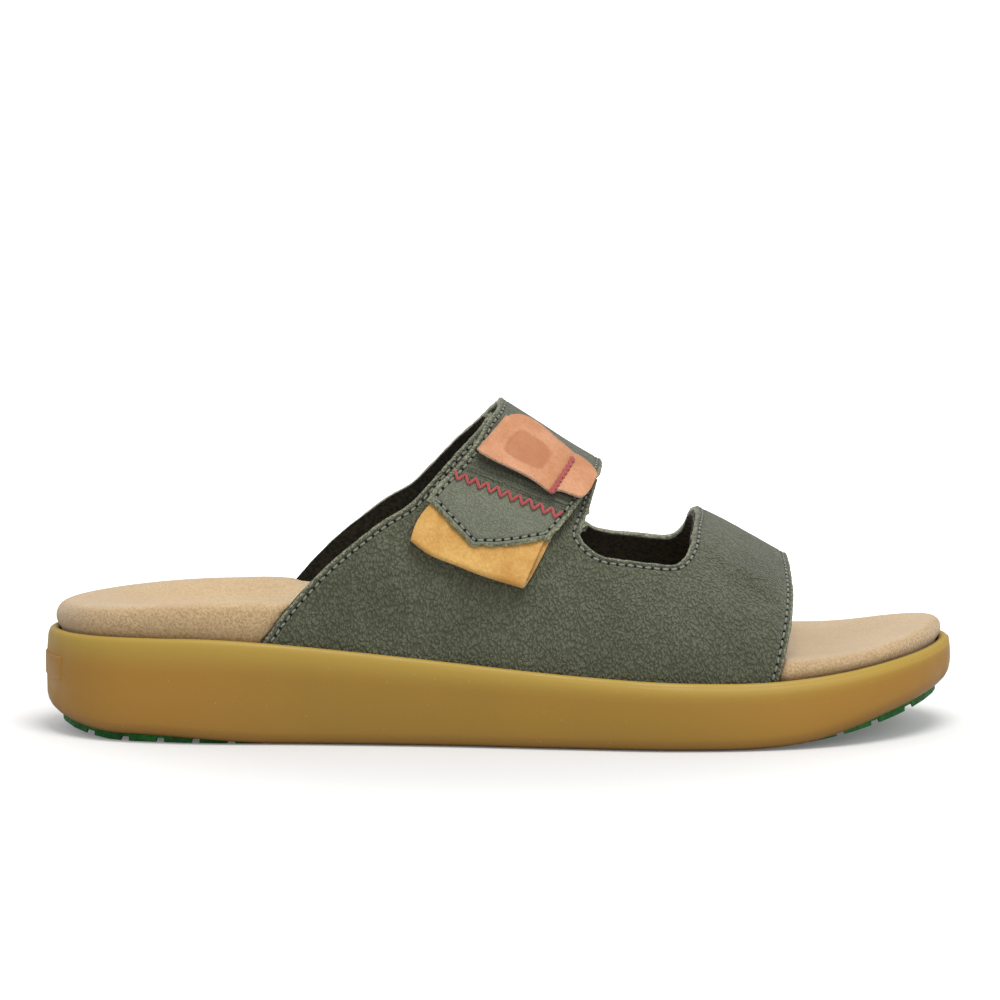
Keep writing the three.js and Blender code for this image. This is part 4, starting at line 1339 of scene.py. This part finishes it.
def label_place(u, v):
    t = cluster(u, 0.25) * 2 - 1
    t = np.sign(t) * np.abs(t) ** 1.3
    along_strip = np.abs(t)
    lower, upper = label_side(LABEL_LOWER, along_strip), label_side(LABEL_UPPER, along_strip)
    across = cluster(v, 0.5)
    seen = lower + (upper - lower) * across[:, None]
    inner = np.full_like(t, STRAP_OUTER + GAP + LABEL_LAYER / 2 + 0.1)
    squeeze = np.exp(-(((along_strip - LABEL_WAIST) / 0.035) ** 2))
    outer = inner + 1.15 + 0.9 * (1 - along_strip) ** 0.7 * (along_strip < LABEL_WAIST) - 0.3 * squeeze
    outer = outer + 0.3 * np.sin(math.pi * np.clip((along_strip - LABEL_WAIST) / (1 - LABEL_WAIST), 0, 1))
    distance = folded(t, inner, outer, 26.0)
    proud = 0.9 * (1 - across) ** 2 * (t > 0) * smooth_step((LABEL_WAIST - along_strip) / 0.15)
    mark = pressed_mark(along_strip, across) * (t > 0)
    label_pressed.append(mark)
    where = laid(seen, distance + proud)
    point = on_face(where, distance + proud - 0.45 * mark)
    return point + form_normal(where[:, 0], where[:, 1]) * (0.14 * waves(point, 7, 9.0))[:, None]


bm = bmesh.new()
value = bm.verts.layers.float.new("pressed")
made = sheet_of(bm, 120, 44, label_place, from_last, outer_from=0.8, outer_axis=0)
for vert, mark in zip(made, label_pressed[0]):
    vert[value] = float(mark)
label = finish_piece("label_leather", bm, None, [TAN, EDGE_TAN])
solidify(label, LABEL_LAYER, 1, 0.0)
bartack_point = Vector(JOINTS["label_lift"]["pos_m"])
BARTACK = side_view([(0.5812, 0.838), (0.5553, 0.746)])
toward_fold = Vector((BARTACK[1, 1] - BARTACK[0, 1], 0, BARTACK[0, 0] - BARTACK[1, 0])).normalized()
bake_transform(label, "strap", "label", start=bartack_point, end=bartack_point + toward_fold * LABEL_BEND)
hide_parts("label_loop", "label_end")

# %% [markdown]
# Sewing is what makes the edges read as sewn: each stitch is a small rounded piece of thread lying in
# its groove, and between two stitches a dark pill in the needle's hole is painted shade. All the rows are
# made by one function, from the edge they follow.


# %% Stitches
def capsule(bm, start, end, normal, radius, flat=0.75, sides=6, rings=4):
    """One stitch of thread from start to end, in mm, with its own UV map."""
    run = Vector(end) - Vector(start)
    z = run.normalized()
    x = Vector(normal).cross(z).normalized()
    y = z.cross(x)
    size = Matrix.Diagonal((radius * MM, radius * flat * MM, (run.length / 2 + radius * 0.5) * MM, 1))
    turn = Matrix((x, y, z)).transposed().to_4x4()
    place = Matrix.Translation((Vector(start) + Vector(end)) / 2 * MM)
    made = bmesh.ops.create_uvsphere(
        bm, u_segments=sides, v_segments=rings, radius=1, matrix=place @ turn @ size, calc_uvs=True)
    return made["verts"]


def beside(edge, distance, sign, ground, inset=STITCH_INSET):
    """Points and normals beside an edge on the last, on the leather's own relief."""
    points = on_face(edge, distance)
    normals = form_normal(edge[:, 0], edge[:, 1])
    run = np.gradient(points, axis=0)
    run /= np.linalg.norm(run, axis=1)[:, None]
    points = points + np.cross(normals, run) * sign * inset
    return points + normals * ground(points)[:, None], normals


PITCH, STITCH, FIRST_STITCH = 2.7, 1.85, 0.5
THREAD_RADIUS, HOLE_RADIUS = 0.42, 0.58
SLANT = 0.12


def row(name, path, normals, body=None, blend=None, seed=0, sunk=0.16):
    """A row of stitches along a path in mm, with a dark pill of painted shade in each needle hole."""
    run = lengths(path)
    count = int(run[-1] // PITCH)
    bm = bmesh.new()
    bm.loops.layers.uv.new("twist")
    rng = np.random.default_rng(seed)
    for i in range(count):
        start = i * PITCH + FIRST_STITCH
        where = np.array([start, start + STITCH, start + (STITCH + PITCH) / 2])
        points = at(where, run, path)
        normal = at(where[:1], run, normals)[0]
        side = np.cross(normal, points[1] - points[0])
        side /= np.linalg.norm(side)
        slant = side * rng.uniform(-SLANT, SLANT)
        lift = normal * -sunk
        capsule(bm, points[0] + lift - slant, points[1] + lift + slant, normal, THREAD_RADIUS)
        # Painted shade: a dark pill sunk in the needle hole between two stitches.
        spot = points[2] + normal * (-sunk - 0.02)
        hole = capsule(bm, spot - side * 0.02 - (points[1] - points[0]) * 0.12,
                       spot + (points[1] - points[0]) * 0.12, normal, HOLE_RADIUS, 0.45)
        for face in {f for v in hole for f in v.link_faces}:
            face.material_index = 1
    piece = finish_piece(name, bm, body, [GREEN_THREAD, NEEDLE_HOLE_SHADE])
    if blend:
        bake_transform(piece, *blend[0], start=blend[1], end=blend[2])
    print(name, count, "stitches")
    return piece


def trimmed(edge, from_mm, to_mm):
    points = on_face(edge)
    run = lengths(points)
    return edge[(run >= from_mm) & (run <= run[-1] - to_mm)]


for side, name, seed in ((LATERAL, "lateral", 1), (MEDIAL, "medial", 2)):
    edge = trimmed(EDGES[side]["rear"], 1.0, 1.0)
    piece = row(f"rear_edge_stitches_{name}", *beside(edge, 0.0, side, hide_ground), "sandal", seed=seed)
    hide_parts(f"rear_edge_thread_{name}")
whole = np.vstack([EDGES[LATERAL]["notch"], EDGES[MEDIAL]["notch"][::-1]])
piece = row("notch_edge_stitches", *beside(trimmed(whole, 1.5, 1.5), 0.0, -1, hide_ground), "sandal", seed=3)
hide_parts("notch_edge_thread")
whole = np.vstack([EDGES[LATERAL]["front"], EDGES[MEDIAL]["front"][-2::-1]])
piece = row("front_edge_stitches", *beside(trimmed(whole, 1.5, 1.5), 0.0, 1, hide_ground), "sandal", seed=4)
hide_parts("front_edge_thread")
OVER_CREST = (("sandal", "strap"), CREST_START, CREST_END)
for edge, name, sign, seed in ((STRAP_EDGES[0], "rear", 1, 5), (STRAP_EDGES[1], "front", -1, 6)):
    row(f"strap_{name}_stitches", *beside(edge, OUTER_FACE, sign, strap_ground), None, OVER_CREST, seed)
inset_path, inset_normals = beside(tip_path, TIP_FACE, 1, tip_ground)
row("tip_stitches", inset_path, inset_normals, None, (("strap", "tip"), FOLD_START, FOLD_END), 7)
low_edge = np.linspace(STRAP_EDGES[0][0], STRAP_EDGES[1][0], 30)
piece = row("strap_base_stitches", *beside(low_edge, OUTER_FACE, 1, strap_ground, 2.6), "sandal", seed=8)
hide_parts("strap_base_thread")


# %% Zigzag seam and bartack
def seam(name, points_2d, distance, body, radius):
    where = laid(points_2d, distance)
    points = on_face(where, distance)
    normals = form_normal(where[:, 0], where[:, 1])
    bm = bmesh.new()
    bm.loops.layers.uv.new("twist")
    for start, end, normal in zip(points, points[1:], normals):
        capsule(bm, start, end, normal, radius, 0.8, 10, 8)
    piece = finish_piece(name, bm, body, [RED_THREAD])
    print(name, len(points) - 1, "stitches")
    return piece


ZIGZAG_STITCHES, ZIGZAG_REACH = 20, 1.3
share = np.linspace(0, 1, ZIGZAG_STITCHES + 1)[:, None]
sway = np.where(np.arange(ZIGZAG_STITCHES + 1) % 2, 1, -1)[:, None] * ZIGZAG_REACH
zigzag = seam("zigzag_seam", SEAM_REAR + (SEAM_FRONT - SEAM_REAR) * share + SEAM_DOWN * sway,
              STRAP_OUTER + 0.25, "strap", 0.5)
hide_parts("zigzag_thread")
BARTACK_STITCHES = 18
share = np.linspace(0.02, 0.98, BARTACK_STITCHES + 1)[:, None]
sway = np.where(np.arange(BARTACK_STITCHES + 1) % 2, 1, -1)[:, None] * 0.55
bartack_run = (BARTACK[1] - BARTACK[0]) / np.linalg.norm(BARTACK[1] - BARTACK[0])
across_bar = np.array([-bartack_run[1], bartack_run[0]])
bartack = seam("bartack_seam", BARTACK[0] + (BARTACK[1] - BARTACK[0]) * share + across_bar * sway,
               STRAP_OUTER + GAP + LABEL_LAYER * 2 + 0.5, "strap", 0.62)
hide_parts("bartack_thread")

# %% Floor, light and camera
def area_light(name, place, target, size, power_watts):
    light = bpy.data.lights.new(name, "AREA")
    light.shape = "DISK"
    light.size = size
    light.energy = power_watts
    holder = bpy.data.objects.new(name, light)
    bpy.context.scene.collection.objects.link(holder)
    holder.location = place
    holder.rotation_euler = (Vector(target) - Vector(place)).to_track_quat("-Z", "Y").to_euler()
    return holder


SKY_LIGHT = 0.66
world = bpy.data.worlds.new("studio")
bpy.context.scene.world = world
world.use_nodes = True
world.node_tree.nodes["Background"].inputs["Color"].default_value = (1, 1, 1, 1)
camera_ray = world.node_tree.nodes.new("ShaderNodeLightPath").outputs["Is Camera Ray"]
sky = ramp(world.node_tree, camera_ray, 0, 1, SKY_LIGHT, 1.1)
world.node_tree.links.new(sky, world.node_tree.nodes["Background"].inputs["Strength"])
CENTRE = (0, 0, 0.05)
area_light("key", (0.2, -0.5, 1.4), CENTRE, 0.8, 16.5)
area_light("fill", (0.8, -1.2, 0.8), CENTRE, 0.8, 3)

bm = bmesh.new()
bmesh.ops.create_grid(bm, x_segments=2, y_segments=2, size=8)
floor = finish_piece("floor", bm)
material, tree, shader, place = begin("floor_white", Roughness=0.9, Specular_IOR_Level=0.1)
shader.inputs["Base Color"].default_value = (0.62, 0.62, 0.61, 1)
shader.inputs["Emission Color"].default_value = (1, 1, 1, 1)
seen_directly = tree.nodes.new("ShaderNodeLightPath").outputs["Is Camera Ray"]
away = add(tree, "ShaderNodeVectorMath", {0: place}, operation="LENGTH").outputs["Value"]
glow = ramp(tree, away, 0.08, 0.3, 0.1, 0.85)
tree.links.new(math_node(tree, "MULTIPLY", seen_directly, glow), shader.inputs["Emission Strength"])
floor.data.materials.append(material)

CAMERA_ELEVATION = math.radians(7)
CAMERA_DISTANCE = 1.731
look_at = Vector((0.0002, 0, 0.0713))
back = Vector((0, -math.cos(CAMERA_ELEVATION), math.sin(CAMERA_ELEVATION)))
camera = bpy.data.objects.new("camera", bpy.data.cameras.new("camera"))
bpy.context.scene.collection.objects.link(camera)
camera.data.lens = 200
camera.data.sensor_width = 36
camera.data.clip_start = 0.05
camera.location = look_at + back * CAMERA_DISTANCE
camera.rotation_euler = back.to_track_quat("Z", "Y").to_euler()
bpy.context.scene.camera = camera
bpy.context.scene.view_settings.view_transform = "Standard"

# %% Materials for the CAD pieces that stay
for node_name, finish in (("outsole_tread", TREAD_RUBBER), ("footbed_core", FOAM),
                          ("loop_tape", LOOP_TAPE), ("hook_tape", HOOK_TAPE)):
    frame["nodes"][node_name].data.materials.clear()
    frame["nodes"][node_name].data.materials.append(finish)
